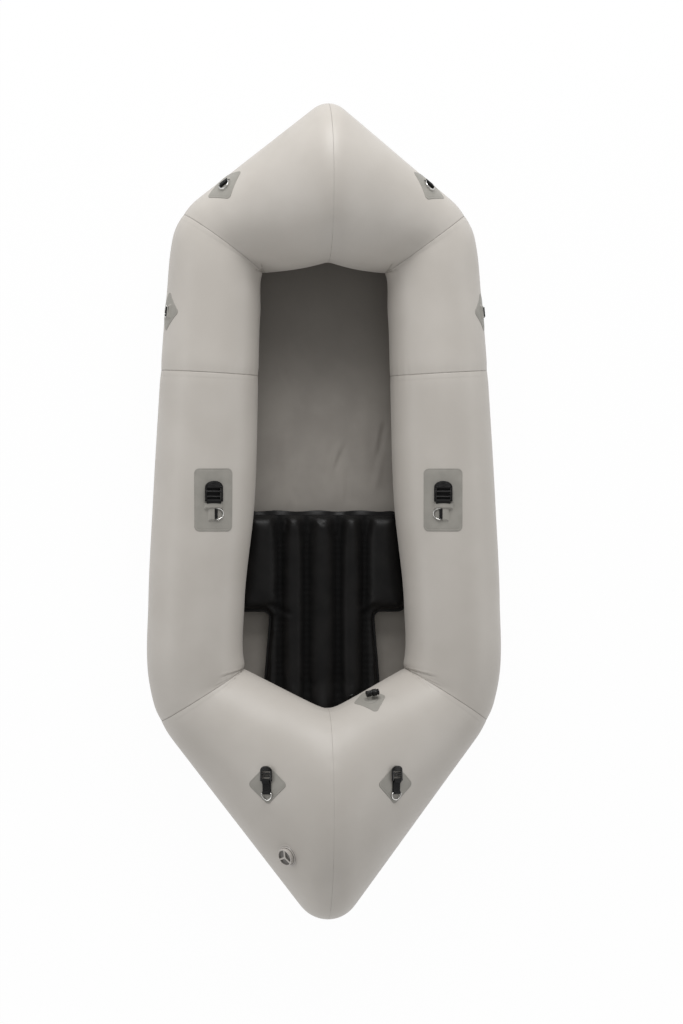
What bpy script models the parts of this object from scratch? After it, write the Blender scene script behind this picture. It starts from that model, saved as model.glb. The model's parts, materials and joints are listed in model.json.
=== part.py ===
"""An inflated one-person packraft, lying flat on its side tubes.

+Y points to the bow, +X to starboard and +Z up. The origin is on the ground,
under the middle of the raft. All sizes are in metres.
"""
import math
from collections import namedtuple

import bmesh
import bpy
from mathutils import Matrix, Vector
from mathutils.bvhtree import BVHTree
from mathutils.geometry import delaunay_2d_cdt

# Hull: overall size, and the height and fore-and-aft depth of its two end chambers
RAFT_LENGTH = 2.160
RAFT_BEAM = 0.938
TUBE_DIAMETER = 0.266
BOW_DEPTH = 0.421
BOW_HEIGHT = 0.366
BOW_LIFT = 0.070
BOW_TIP_RADIUS = 0.063
STERN_DEPTH = 0.559
STERN_HEIGHT = 0.396
STERN_LIFT = 0.042
STERN_TIP_RADIUS = 0.089
HULL_SIDES = 28

# Fabric, and the welded laps in which one chamber reaches into the next
HULL_WALL = 0.0012
LAP_LENGTH = 0.012
LAP_ROOT = 0.008
LAP_GAP = 0.0004
SEAM_GAP = 0.0003
FIT_GAP = 0.0003
FLOOR_THICKNESS = 0.0015
PATCH_THICKNESS = 0.0010
WEBBING_THICKNESS = 0.0012

# Inflatable seat
SEAT_THICKNESS = 0.075
SEAT_FRONT = -0.003
SEAT_EAR_LENGTH = 0.265
SEAT_NECK_WIDTH = 0.280
SEAT_TAIL_WIDTH = 0.316
SEAT_SIDE_TUCK = 0.018
SEAT_TAIL_TUCK = 0.045
SEAT_MARGIN = 0.005
SEAT_MARGIN_THICKNESS = 0.0015
SEAT_SHOULDER = 0.035
SEAT_CORNER_RADIUS = 0.028
SEAT_NECK_RADIUS = 0.016
SEAT_OUTER_SHOULDER = 0.030
CENTRE_CHANNEL_WIDTH = 0.085
NEXT_CHANNEL_WIDTH = 0.071
SEAT_MESH = 0.026
SEAT_ROWS = 0.032
SEAT_VALVE_WIDTH = 0.0240
SEAT_VALVE_THICKNESS = 0.0030
SEAT_KNOB_WIDTH = 0.0190
SEAT_KNOB_HEIGHT = 0.0070
TAB_AHEAD = 0.019
TAB_BEHIND = 0.030

# Steel D-rings in 25 mm webbing, and ladder-lock buckles in two sizes
RING_WIRE = 0.0030
RING_WIDTH = 0.0310
RING_DEPTH = 0.0205
NARROW_WEBBING = 0.0240
WIDE_WEBBING = 0.0380
BUCKLE_THICKNESS = 0.0040
BUCKLE_RAIL = 0.0055
BUCKLE_BAR = 0.0040
BUCKLE_SLOT = 0.0075
STRAP_TAIL = 0.016
STERN_RING_OFFSET = -0.022
STERN_BUCKLE_OFFSET = 0.012

# Where the fittings are: half-breadth, then distance forward of the middle, or inward of the tip
# of the bow or the stern. The top-up valve is behind the stern's inner edge, at a share of the
# way to its corner, and the seat's valve behind it too, at a share of the tail's half-width.
SIDE_RING_PLACE = 0.531
SIDE_RING_ELEVATION = 16
MID_PATCH_PLACE = (0.304, 0.031)
MID_RING_PLACE = (0.298, -0.006)
MID_BUCKLE_PLACE = (0.305, 0.028)
BOW_RING_FROM_TIP = (0.272, 0.214)
STERN_PATCH_FROM_TIP = (0.170, 0.361)
MAIN_VALVE_FROM_TIP = (0.115, 0.174)
TOPUP_EDGE_SHARE = 0.5007
TOPUP_BEHIND_EDGE = 0.0250
SEAT_VALVE_TAIL_SHARE = 0.494
SEAT_VALVE_BEHIND_EDGE = 0.0160

# Patches
DIAMOND_LENGTH = 0.103
DIAMOND_WIDTH = 0.099
DIAMOND_CORNER = 0.010
MID_PATCH_LENGTH = 0.167
MID_PATCH_WIDTH = 0.103
MID_PATCH_CORNER = 0.014
TOPUP_PATCH_LENGTH = 0.076
TOPUP_PATCH_WIDTH = 0.066

# Main valve, from its welded base outwards
VALVE_SIDES = 24
VALVE_BORE = 0.0330
VALVE_BARREL_WALL = 0.0031
VALVE_FLANGE_WIDTH = 0.0540
VALVE_FLANGE_THICKNESS = 0.0022
VALVE_DEPTH = 0.0124
VALVE_SEAL_THICKNESS = 0.0012
VALVE_SEAL_WIDTH = 0.0030
INSERT_FLANGE_WIDTH = 0.0430
INSERT_FLANGE_THICKNESS = 0.0020
INSERT_WALL = 0.0032
SPIDER_THICKNESS = 0.0020
SPIDER_SPOKE = 0.0030
SPIDER_HUB = 0.0080
DIAPHRAGM_STEM = 0.0030
DIAPHRAGM_THICKNESS = 0.0011
CAP_WIDTH = 0.0480
CAP_SKIRT = 0.0020
CAP_CROWN = 0.0048
CAP_RIM = 0.0035
CAP_RECESS = 0.0032
CAP_RIB = 0.0050
SPOKES = 3
SPOKE_TURN = 30
CHAMFER = 0.0008
CUT_OVERRUN = 0.0300

# Top-up valve
TOPUP_BARREL_WIDTH = 0.0160
TOPUP_BARREL_LENGTH = 0.0150
TOPUP_MOUTH_WIDTH = 0.0190
TOPUP_MOUTH_LENGTH = 0.0180
TOPUP_BORE = 0.0080
TOPUP_STUB_WIDTH = 0.0120
TOPUP_BOOT_WIDTH = 0.0240
TOPUP_BOOT_THICKNESS = 0.0015
TOPUP_HEIGHT = 0.0140
TOPUP_WALL = 0.0015

HALF_LENGTH = RAFT_LENGTH / 2
HALF_BEAM = RAFT_BEAM / 2
FACET = 2 * math.pi / HULL_SIDES
FACET_REACH = 1 / math.cos(FACET / 2)
PORT, STARBOARD = -1, 1
SIDES = {PORT: "left", STARBOARD: "right"}

# The chamber edges between the two end seams, bow to stern: the outer edge as shares of the half
# beam and half length, then the tube's width and height as shares of its diameter, and the slant
# of the ring across the tube in degrees, positive where its inner end is the one further aft.
EDGE_SHARES = (
    (0.819, 0.736, 1.020, 0.890, 36.0),
    (0.849, 0.694, 0.985, 0.905, 28.0),
    (0.898, 0.521, 0.955, 0.940, 10.0),
    (0.931, 0.346, 0.980, 0.985, 2.9),
    (0.974, 0.029, 1.015, 1.000, 2.3),
    (1.000, -0.218, 0.962, 0.985, 0.0),
    (0.996, -0.416, 0.974, 0.945, -14.0),
    (0.945, -0.515, 1.002, 0.917, -31.4),
)
SIDE_SEAM_EDGE = 3
BOW_RING_SHARES = (0.0, 0.055, 0.11, 0.28, 0.60)
STERN_RING_SHARES = (0.60, 0.30, 0.16, 0.08, 0.0)
LIFT_POWER = 1.6
CREST_ROUNDING_SHARE = 0.22

Ring = namedtuple("Ring", "outer inner height lift")


# Counts and small steps of the construction
HALVINGS = 40
TIP_ROUNDS = 3
REST_STEPS = 12
SETTLE_STEPS = 60
SETTLE_TILT = math.radians(0.5)
DIAMOND_CORNER_STEPS = 2
PATCH_CORNER_STEPS = 3
SEAT_CORNER_STEPS = 4
SECTOR_STEPS = 8
HUB_STEPS = 4
WIRE_RESOLUTION = 2
COLUMN_DIGITS = 6
FACES_INSIDE = 1
SHARP_ANGLE = math.radians(32)
PROBE_SHARE = 0.001
WELD = 1e-6


def clear_scene():
    for thing in list(bpy.data.objects):
        bpy.data.objects.remove(thing, do_unlink=True)


def material(name, colour, roughness, metallic=0.0):
    made = bpy.data.materials.new(name)
    made.use_nodes = True
    shader = made.node_tree.nodes["Principled BSDF"]
    shader.inputs["Base Color"].default_value = (*colour, 1)
    shader.inputs["Roughness"].default_value = roughness
    shader.inputs["Metallic"].default_value = metallic
    made.diffuse_color = (*colour, 1)
    return made


def place_mesh(name, shape, finish, matrix=None, smooth=True, out=None):
    """Makes an object of a bmesh, turned to face outwards, or an open surface to face one way."""
    if out is None:
        bmesh.ops.recalc_face_normals(shape, faces=shape.faces)
    else:
        shape.normal_update()
        inward = [face for face in shape.faces if face.normal.dot(out) < 0]
        bmesh.ops.reverse_faces(shape, faces=inward)
    mesh = bpy.data.meshes.new(name)
    shape.to_mesh(mesh)
    shape.free()
    mesh.materials.append(finish)
    if smooth:
        mesh.shade_smooth()
        mesh.set_sharp_from_angle(angle=SHARP_ANGLE)
    thing = bpy.data.objects.new(name, mesh)
    bpy.context.collection.objects.link(thing)
    if matrix is not None:
        thing.matrix_world = matrix
    return thing


def loft(rows, closed_along=False, stops=None):
    """A surface of triangles over rows of points; a row of one point is a tip.

    Where the rows' stops are given, a wall that runs back gets the facets of the one outside it."""
    shape = bmesh.new()
    made = [[shape.verts.new(point) for point in row] for row in rows]
    pairs = list(zip(made, made[1:]))
    if closed_along:
        pairs.append((made[-1], made[0]))
    for k, (near, far) in enumerate(pairs):
        runs_back = stops is not None and stops[(k + 1) % len(stops)] < stops[k]
        count = max(len(near), len(far))
        for i in range(count):
            j = (i + 1) % count
            if len(near) == 1:
                shape.faces.new((near[0], far[j], far[i]))
            elif len(far) == 1:
                shape.faces.new((near[i], near[j], far[0]))
            elif runs_back:
                shape.faces.new((near[i], near[j], far[i]))
                shape.faces.new((near[j], far[j], far[i]))
            else:
                shape.faces.new((near[i], near[j], far[j]))
                shape.faces.new((near[i], far[j], far[i]))
    return shape


def flat_profile(outline, holes, depth):
    """A plate over an outline in its XY plane, with holes, from z = 0 to its depth."""
    shape = bmesh.new()
    for loop in (outline, *holes):
        points = [shape.verts.new((x, y, 0)) for x, y in loop]
        for a, b in zip(points, points[1:] + points[:1]):
            shape.edges.new((a, b))
    bmesh.ops.triangle_fill(shape, use_beauty=True, edges=shape.edges[:])
    lower = shape.faces[:]
    extruded = bmesh.ops.extrude_face_region(shape, geom=lower, use_keep_orig=True)
    raised = [item for item in extruded["geom"] if isinstance(item, bmesh.types.BMVert)]
    bmesh.ops.translate(shape, vec=(0, 0, depth), verts=raised)
    return shape


def turned(profile, sides):
    """A closed profile of (radius, height) points, turned round Z."""
    rows = []
    for radius, height in profile:
        if radius == 0:
            rows.append([Vector((0, 0, height))])
        else:
            rows.append([Vector((radius * math.cos(t), radius * math.sin(t), height))
                         for t in (2 * math.pi * k / sides for k in range(sides))])
    return loft(rows, closed_along=profile[0][0] > 0)


def arc(centre, radius, start, end, steps):
    """Points on an arc, with its angles in degrees."""
    turns = [math.radians(start + (end - start) * k / steps) for k in range(steps + 1)]
    return [(centre[0] + radius * math.cos(t), centre[1] + radius * math.sin(t)) for t in turns]


def rounded(corners, radii, steps):
    """A polygon with each corner rounded to its own radius."""
    points = []
    count = len(corners)
    for i, corner in enumerate(corners):
        here = Vector(corner)
        back = (Vector(corners[i - 1]) - here).normalized()
        onward = (Vector(corners[(i + 1) % count]) - here).normalized()
        half = back.angle(onward) / 2
        reach = radii[i] / math.tan(half)
        middle = here + (back + onward).normalized() * radii[i] / math.sin(half)
        start = here + back * reach - middle
        turn = (here + onward * reach - middle).angle_signed(start)
        for k in range(steps + 1):
            point = start.copy()
            point.rotate(Matrix.Rotation(turn * k / steps, 2))
            points.append(tuple(middle + point))
    return points


def cut(thing, cutter, operation="DIFFERENCE"):
    """Cuts a thing with a helper, which stays in the file as a wire shape and isn't rendered."""
    cutter.hide_render = True
    cutter.display_type = "WIRE"
    modifier = thing.modifiers.new(cutter.name, "BOOLEAN")
    modifier.operation = operation
    modifier.solver = "EXACT"
    modifier.object = cutter


def tip_line(corner, tip, radius):
    """The straight edge from a chamber's corner to where the edges would meet on the centre line.

    The tip is rounded, so that place lies beyond it; a few rounds settle how far."""
    beyond = tip
    for _ in range(TIP_ROUNDS):
        slope = math.atan2(corner.x, abs(beyond - corner.y))
        beyond = tip + math.copysign(radius * (1 / math.sin(slope) - 1), tip)
    return beyond


def end_rings(corner, tip, depth, height, lift, radius, shares):
    """The rings of an end chamber, a cone that widens from its corner to the centre seam."""
    beyond = tip_line(corner.outer, tip, radius)
    bend = CREST_ROUNDING_SHARE
    inner_tip = Vector((0, tip - math.copysign(depth, tip)))
    rings = []
    for share in shares:
        outer = Vector((0, beyond)).lerp(corner.outer, share)
        rounded_tip = tip - math.copysign(radius, tip)
        if outer.x < radius:
            reach = rounded_tip + math.copysign(math.sqrt(radius ** 2 - outer.x ** 2), tip)
            outer.y = math.copysign(min(abs(outer.y), abs(reach)), tip)
        fall = (math.hypot(share, bend) - bend) / (math.hypot(1, bend) - bend)
        rings.append(Ring(outer, inner_tip.lerp(corner.inner, share),
                          height + (corner.height - height) * fall,
                          lift * (1 - fall) ** LIFT_POWER))
    return rings


def side_rings():
    rings = []
    for out_share, forward_share, width_share, height_share, slant in EDGE_SHARES:
        outer = Vector((HALF_BEAM * out_share, HALF_LENGTH * forward_share))
        turn = math.radians(slant)
        across = Vector((-math.cos(turn), -math.sin(turn))) * TUBE_DIAMETER * width_share
        rings.append(Ring(outer, outer + across, TUBE_DIAMETER * height_share, 0))
    return rings


ALONG = side_rings()
RINGS = (
    end_rings(ALONG[0], HALF_LENGTH, BOW_DEPTH, BOW_HEIGHT, BOW_LIFT, BOW_TIP_RADIUS,
              BOW_RING_SHARES)
    + ALONG
    + end_rings(ALONG[-1], -HALF_LENGTH, STERN_DEPTH, STERN_HEIGHT, STERN_LIFT,
                STERN_TIP_RADIUS, STERN_RING_SHARES)
)
LAST = len(RINGS) - 1
BOW_CORNER = len(BOW_RING_SHARES)
SIDE_SEAM = BOW_CORNER + SIDE_SEAM_EDGE
STERN_CORNER = BOW_CORNER + len(EDGE_SHARES) - 1


def ring_at(stop):
    """The ring at a stop along one side, between two rings where the stop isn't whole."""
    low = min(int(stop), LAST - 1)
    share = stop - low
    a, b = RINGS[low], RINGS[low + 1]
    return Ring(a.outer.lerp(b.outer, share), a.inner.lerp(b.inner, share),
                a.height + (b.height - a.height) * share, a.lift + (b.lift - a.lift) * share)


def hull_point(side, stop, angle, offset=0.0):
    """A point on the hull. Its angle is 0 at the outer edge and a quarter turn on top.

    A stop past either centre seam carries on down the other side."""
    if stop < 0:
        side, stop = -side, -stop
    if stop > LAST:
        side, stop = -side, 2 * LAST - stop
    ring = ring_at(stop)
    across = ring.outer - ring.inner
    middle = (ring.outer + ring.inner) / 2
    breadth = (across.length / 2 + offset) * math.cos(angle) * FACET_REACH
    rise = (ring.height / 2 + offset) * math.sin(angle) * FACET_REACH
    plan = middle + across.normalized() * breadth
    return Vector((side * plan.x, plan.y, ring.lift + ring.height / 2 + rise))


def corner_angle(index):
    return (index + 0.5) * FACET


def hull_row(side, stop, offset=0.0):
    return [hull_point(side, stop, corner_angle(i), offset) for i in range(HULL_SIDES)]


def stop_share(stop, length):
    """A length along the hull near a stop, as a share of the distance between its rings."""
    low = min(max(int(stop), 0), LAST - 1)
    middles = [(RINGS[k].outer + RINGS[k].inner) / 2 for k in (low, low + 1)]
    return length / (middles[1] - middles[0]).length


def chamber(name, side, first, last, lap_first, lap_last, finish):
    """One air chamber: a fabric tube, open at its ends, with a lap that reaches into the next."""
    start = first + stop_share(first, SEAM_GAP / 2)
    end = last - stop_share(last - 1, SEAM_GAP / 2)
    between = list(range(first + 1, last))
    inner, outer_lap, inner_lap = (-HULL_WALL, -HULL_WALL - LAP_GAP, -2 * HULL_WALL - LAP_GAP)
    places = [(stop, 0) for stop in (start, *between, end)]
    if lap_last:
        root = last - stop_share(last - 1, LAP_ROOT)
        reach = last + stop_share(last if last < LAST else last - 1, LAP_LENGTH)
        places += [(end, outer_lap), (reach, outer_lap), (reach, inner_lap),
                   (root, inner_lap), (root, inner)]
    else:
        places.append((end, inner))
    places += [(stop, inner) for stop in reversed(between)]
    if lap_first:
        root = first + stop_share(first, LAP_ROOT)
        reach = first - stop_share(first, LAP_LENGTH)
        places += [(root, inner), (root, inner_lap), (reach, inner_lap),
                   (reach, outer_lap), (start, outer_lap)]
    else:
        places.append((start, inner))
    rows = [hull_row(side, stop, offset) for stop, offset in places]
    stops = [stop for stop, _ in places]
    return place_mesh(name, loft(rows, closed_along=True, stops=stops), finish)


def skin(side, first, last, offset):
    """The open outer surface of a stretch of hull, moved out by an offset."""
    stops = [first + stop_share(first, SEAM_GAP), *range(first + 1, last),
             last - stop_share(last - 1, SEAM_GAP)]
    return loft([hull_row(side, stop, offset) for stop in stops])


def hull_tree():
    """What a ray from a fitting meets: both sides of the hull, end to end."""
    shape = bmesh.new()
    for side in SIDES:
        one = loft([hull_row(side, stop) for stop in range(LAST + 1)])
        mesh = bpy.data.meshes.new("hull_tree")
        one.to_mesh(mesh)
        one.free()
        shape.from_mesh(mesh)
        bpy.data.meshes.remove(mesh)
    tree = BVHTree.FromBMesh(shape)
    shape.free()
    return tree


def stop_on(side, place, first, last):
    """The stop and the upper angle of the hull over a plan place, by halving."""
    spot = Vector(place)

    def ahead(stop):
        ring = ring_at(stop)
        across = ring.inner - ring.outer
        return across.x * (spot.y - ring.outer.y) - across.y * (spot.x - ring.outer.x)

    low, high = float(first), float(last)
    for _ in range(HALVINGS):
        middle = (low + high) / 2
        if ahead(low) * ahead(middle) <= 0:
            high = middle
        else:
            low = middle
    ring = ring_at(low)
    across = (ring.outer - ring.inner) / 2
    share = (spot - (ring.outer + ring.inner) / 2).dot(across) / across.length_squared
    return low, math.acos(max(-1.0, min(1.0, share)))


def frame_on_hull(side, stop, angle, facing):
    """A frame on the hull: Z straight out, Y towards where a fitting faces."""
    here = hull_point(side, stop, angle)
    along = hull_point(side, stop + PROBE_SHARE, angle) - here
    around = hull_point(side, stop, angle + PROBE_SHARE) - here
    out = along.cross(around).normalized()
    if out.dot(here - hull_point(side, stop, angle + math.pi)) < 0:
        out.negate()
    y_axis = (facing - out * facing.dot(out)).normalized()
    frame = Matrix((y_axis.cross(out), y_axis, out)).transposed().to_4x4()
    frame.translation = here
    return frame


def frame_over(side, place, first, last, facing):
    """The frame on the hull over a plan place."""
    return frame_on_hull(side, *stop_on(side, place, first, last), facing)


def inward_of(tip, place):
    """A plan place that is given by its distance inward of the tip of the bow or the stern."""
    across, inward = place
    return across, tip - math.copysign(inward, tip)


def behind_edge(share, behind):
    """A plan place behind the stern's inner edge, at a share of the way to its corner."""
    on_edge = RINGS[LAST].inner.lerp(RINGS[STERN_CORNER].inner, share)
    return on_edge.x, on_edge.y - behind


def lifted(frame, across, along, tree):
    """A frame moved until its flat base, in two spans, just clears what curves under it."""
    out = frame.col[2].xyz
    heights = []
    for i in range(REST_STEPS + 1):
        for k in range(REST_STEPS + 1):
            x = across[0] + (across[1] - across[0]) * i / REST_STEPS
            y = along[0] + (along[1] - along[0]) * k / REST_STEPS
            met = tree.ray_cast(frame @ Vector((x, y, CUT_OVERRUN)), -out)
            heights.append(CUT_OVERRUN - met[3])
    return frame @ Matrix.Translation((0, 0, max(heights)))


def moved(frame, across=0.0, along=0.0, out=0.0):
    return frame @ Matrix.Translation((across, along, out))


def patch(name, side, first, last, frame, outline):
    """A fabric patch welded on the hull: its outline cut from the hull's own facets."""
    shape = skin(side, first, last, FIT_GAP)
    out = frame.col[2].xyz
    reach = max(Vector(point).length for point in outline)
    far = [f for f in shape.faces
           if (f.calc_center_median() - frame.translation).dot(out) < -reach]
    bmesh.ops.delete(shape, geom=far, context="FACES")
    for a, b in zip(outline, outline[1:] + outline[:1]):
        edge = Vector(b) - Vector(a)
        away = frame.to_3x3() @ Vector((edge.y, -edge.x, 0))
        bmesh.ops.bisect_plane(
            shape, geom=shape.verts[:] + shape.edges[:] + shape.faces[:], dist=WELD,
            plane_co=frame @ Vector((*a, 0)), plane_no=away.normalized(), clear_outer=True)
    bmesh.ops.remove_doubles(shape, verts=shape.verts, dist=WELD)
    thing = place_mesh(name, shape, PATCH_GREY, out=out)
    solid = thing.modifiers.new("Thickness", "SOLIDIFY")
    solid.thickness = PATCH_THICKNESS
    solid.offset = 1
    solid.use_even_offset = True
    return thing


clear_scene()

HULL_GREY = material("hull fabric", (0.42, 0.39, 0.355), 0.55)
PATCH_GREY = material("patch fabric", (0.26, 0.25, 0.225), 0.6)
FLOOR_GREY = material("floor fabric", (0.165, 0.155, 0.135), 0.7)
SEAT_BLACK = material("seat fabric", (0.012, 0.012, 0.012), 0.5)
WEBBING_BLACK = material("webbing", (0.010, 0.010, 0.010), 0.8)
BUCKLE_BLACK = material("buckle plastic", (0.015, 0.015, 0.015), 0.35)
STEEL = material("steel", (0.62, 0.61, 0.59), 0.22, 1.0)
VALVE_GREY = material("valve plastic", (0.33, 0.31, 0.29), 0.45)
SEAL_RUBBER = material("seal rubber", (0.02, 0.02, 0.02), 0.7)

HULL_TREE = hull_tree()

# Hull: four chambers a side, from the bow's centre seam to the stern's
SECTIONS = (
    ("bow", 0, BOW_CORNER),
    ("fore_side", BOW_CORNER, SIDE_SEAM),
    ("mid_side", SIDE_SEAM, STERN_CORNER),
    ("stern", STERN_CORNER, LAST),
)
CHAMBERS = {}
for hand, word in SIDES.items():
    for part_name, first_stop, last_stop in SECTIONS:
        # On each centre seam it is the left-hand chamber that reaches into the right-hand one.
        CHAMBERS[part_name, hand] = chamber(
            f"{part_name}_{word}", hand, first_stop, last_stop,
            lap_first=first_stop == 0 and hand == PORT,
            lap_last=last_stop < LAST or hand == PORT,
            finish=HULL_GREY)


# Floor: one sheet between the tubes, whose margin is welded under them
FLOOR_WELD_CORNERS = (HULL_SIDES * 3 // 4 - 2, HULL_SIDES * 3 // 4 - 3)
FLOOR_OFFSET = FIT_GAP + FLOOR_THICKNESS / 2


def floor_point(side, stop, corner):
    return hull_point(side, stop, corner_angle(corner), FLOOR_OFFSET)


def floor():
    shape = bmesh.new()
    margin, edge = ({hand: [shape.verts.new(floor_point(hand, stop, corner))
                            for stop in range(LAST + 1)] for hand in SIDES}
                    for corner in FLOOR_WELD_CORNERS)
    for near in range(LAST):
        far = near + 1
        for hand in SIDES:
            shape.faces.new((edge[hand][near], margin[hand][near], margin[hand][far]))
            shape.faces.new((edge[hand][near], margin[hand][far], edge[hand][far]))
        shape.faces.new((edge[PORT][near], edge[PORT][far],
                         edge[STARBOARD][far], edge[STARBOARD][near]))
    bmesh.ops.remove_doubles(shape, verts=shape.verts, dist=WELD)
    thing = place_mesh("floor", shape, FLOOR_GREY)
    solid = thing.modifiers.new("Thickness", "SOLIDIFY")
    solid.thickness = FLOOR_THICKNESS
    solid.offset = 0
    return thing


def floor_top(forward):
    """The height of the floor's upper face at a distance forward of the middle."""
    rows = [floor_point(STARBOARD, stop, FLOOR_WELD_CORNERS[1]) for stop in range(LAST + 1)]
    for near, far in zip(rows, rows[1:]):
        if far.y <= forward <= near.y:
            share = (forward - near.y) / (far.y - near.y)
            return near.z + (far.z - near.z) * share + FLOOR_THICKNESS / 2
    return rows[-1].z


floor()


# Steel D-rings, each swinging on its straight bar in a loop of webbing
PATCH_TOP = FIT_GAP + PATCH_THICKNESS
STRAP_BASE = PATCH_TOP + FIT_GAP
STRAP_TOP = STRAP_BASE + 2 * WEBBING_THICKNESS
RING_LOOP_BORE = RING_WIRE / 2 + FIT_GAP
RING_HEIGHT = STRAP_BASE + WEBBING_THICKNESS + RING_LOOP_BORE
RING_REACH = RING_DEPTH - RING_WIRE
RING_STEPS = 9
LOOP_SIDES = 10


def settle(frame, height, spots, room):
    """A hinged piece's place in a frame, tipped down about X until it comes to rest on the patch.

    The spots are where it may touch, across and along the piece, each with its own room."""
    out = frame.col[2].xyz
    tip = 0.0
    for step in range(SETTLE_STEPS):
        tilt = SETTLE_TILT * step
        clear = True
        for across, along in spots:
            local = (across, along * math.cos(tilt), height - along * math.sin(tilt))
            met = HULL_TREE.ray_cast(frame @ Vector(local), -out)
            clear = clear and met[0] is not None and met[3] > PATCH_TOP + FIT_GAP + room
        if not clear:
            break
        tip = tilt
    return Matrix.Translation((0, 0, height)) @ Matrix.Rotation(-tip, 4, "X")


def d_ring(name, frame):
    """A D-ring with its origin on the bar. The bow of the D lies towards +Y of its frame."""
    half = (RING_WIDTH - RING_WIRE) / 2
    curve = bpy.data.curves.new(name, "CURVE")
    curve.dimensions = "3D"
    curve.bevel_depth = RING_WIRE / 2
    curve.bevel_resolution = WIRE_RESOLUTION
    turns = [math.pi * k / RING_STEPS for k in range(RING_STEPS + 1)]
    path = [(half * math.cos(t), RING_REACH * math.sin(t)) for t in turns]
    spline = curve.splines.new("POLY")
    spline.points.add(len(path) - 1)
    for point, place in zip(spline.points, path):
        point.co = (*place, 0, 1)
    spline.use_cyclic_u = True
    spline.use_smooth = True
    curve.materials.append(STEEL)
    thing = bpy.data.objects.new(name, curve)
    bpy.context.collection.objects.link(thing)
    thing.matrix_world = frame @ settle(frame, RING_HEIGHT, path, RING_WIRE / 2)
    return thing


# Webbing: a strap sewn on a patch, its ends turned back round a ring's or a buckle's bar
def strap_end(place, bore, facing):
    """The outline of one end of a strap, from its base up to its top: a loop round a bar."""
    if bore == 0:
        return [(place, STRAP_BASE), (place, STRAP_TOP)][::facing]
    radius = bore + WEBBING_THICKNESS
    lean = math.degrees(math.asin((STRAP_TOP - STRAP_BASE - radius) / radius))
    points = arc((0, STRAP_BASE + radius), radius, -90, 180 - lean, LOOP_SIDES)[::facing]
    return [(place + facing * y, z) for y, z in points]


def strap(name, frame, width, low, low_bore, high, high_bore):
    """A strap along the frame's Y between two places, with a loop where there is a bore."""
    outline = strap_end(high, high_bore, 1) + strap_end(low, low_bore, -1)
    holes = []
    for place, bore in ((low, low_bore), (high, high_bore)):
        if bore > 0:
            reach = bore / math.cos(math.pi / LOOP_SIDES)
            centre = (place, STRAP_BASE + WEBBING_THICKNESS + bore)
            holes.append(arc(centre, reach, 0, 360, LOOP_SIDES)[:-1])
    upright = Matrix(((0, 0, 1), (1, 0, 0), (0, 1, 0))).to_4x4()
    return place_mesh(name, flat_profile(outline, holes, width), WEBBING_BLACK,
                      moved(frame, across=-width / 2) @ upright)


# Ladder-lock buckles: two slots, three bars and a thumb tongue that is bent up
BUCKLE_LOOP_BORE = math.hypot(BUCKLE_BAR, BUCKLE_THICKNESS) / 2 + FIT_GAP
BUCKLE_HEIGHT = STRAP_BASE + WEBBING_THICKNESS + BUCKLE_LOOP_BORE
TONGUE_ROOT_SHARE = 0.5
TONGUE_ROUND_SHARE = 0.95
TONGUE_BEND = math.radians(12)
TONGUE_STEPS = 12


def buckle(name, frame, webbing):
    """A ladder-lock with its origin on its end bar. Its tongue points along +Y of its frame."""
    half = webbing / 2 + BUCKLE_RAIL
    inside = webbing / 2 + FIT_GAP
    slots = (BUCKLE_BAR / 2, BUCKLE_BAR * 3 / 2 + BUCKLE_SLOT)
    root = slots[1] + BUCKLE_SLOT + BUCKLE_RAIL / 2
    shoulder = slots[1] + BUCKLE_SLOT + half * TONGUE_ROOT_SHARE
    tongue = [(x, shoulder + y * TONGUE_ROUND_SHARE)
              for x, y in arc((0, 0), half, 0, 180, TONGUE_STEPS)]
    outline = [(-half, -BUCKLE_BAR / 2), (half, -BUCKLE_BAR / 2), (half, root), *tongue,
               (-half, root)]
    holes = [[(-inside, low), (inside, low), (inside, low + BUCKLE_SLOT),
              (-inside, low + BUCKLE_SLOT)] for low in slots]
    shape = flat_profile(outline, holes, BUCKLE_THICKNESS)
    cuts = shape.verts[:] + shape.edges[:] + shape.faces[:]
    bmesh.ops.bisect_plane(shape, geom=cuts, plane_co=(0, root, 0), plane_no=(0, 1, 0))
    for vert in shape.verts:
        vert.co.z -= BUCKLE_THICKNESS / 2
        vert.co.z += max(0.0, vert.co.y - root) * math.tan(TONGUE_BEND)
    spots = [(x, y * share) for x, y in ((-half, root), (0, root), (half, root))
             for share in (0.5, 1.0)]
    rest = settle(frame, BUCKLE_HEIGHT, spots, BUCKLE_THICKNESS / 2)
    return place_mesh(name, shape, BUCKLE_BLACK, frame @ rest, smooth=False)


# Fittings on their patches
def diamond(length, width):
    corners = [(length / 2, 0), (0, width / 2), (-length / 2, 0), (0, -width / 2)]
    return rounded(corners, [DIAMOND_CORNER] * len(corners), DIAMOND_CORNER_STEPS)


def rectangle(length, width, corner):
    corners = [(length / 2, -width / 2), (length / 2, width / 2),
               (-length / 2, width / 2), (-length / 2, -width / 2)]
    return rounded(corners, [corner] * len(corners), PATCH_CORNER_STEPS)


def ring_set(word, place_name, frame):
    """A D-ring and its webbing, whose tail points away from the bow of the D."""
    base = lifted(frame, (-NARROW_WEBBING / 2, NARROW_WEBBING / 2), (-STRAP_TAIL, RING_WIRE),
                  HULL_TREE)
    strap(f"{place_name}_webbing_{word}", base, NARROW_WEBBING, -STRAP_TAIL, 0, 0, RING_LOOP_BORE)
    d_ring(f"{place_name}_ring_{word}", base)


def stop_at(side, angle, forward, first, last):
    """The stop at which the hull, at an angle, lies at a distance forward, by halving."""
    low, high = float(first), float(last)
    for _ in range(HALVINGS):
        middle = (low + high) / 2
        if hull_point(side, middle, angle).y > forward:
            low = middle
        else:
            high = middle
    return low


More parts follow.
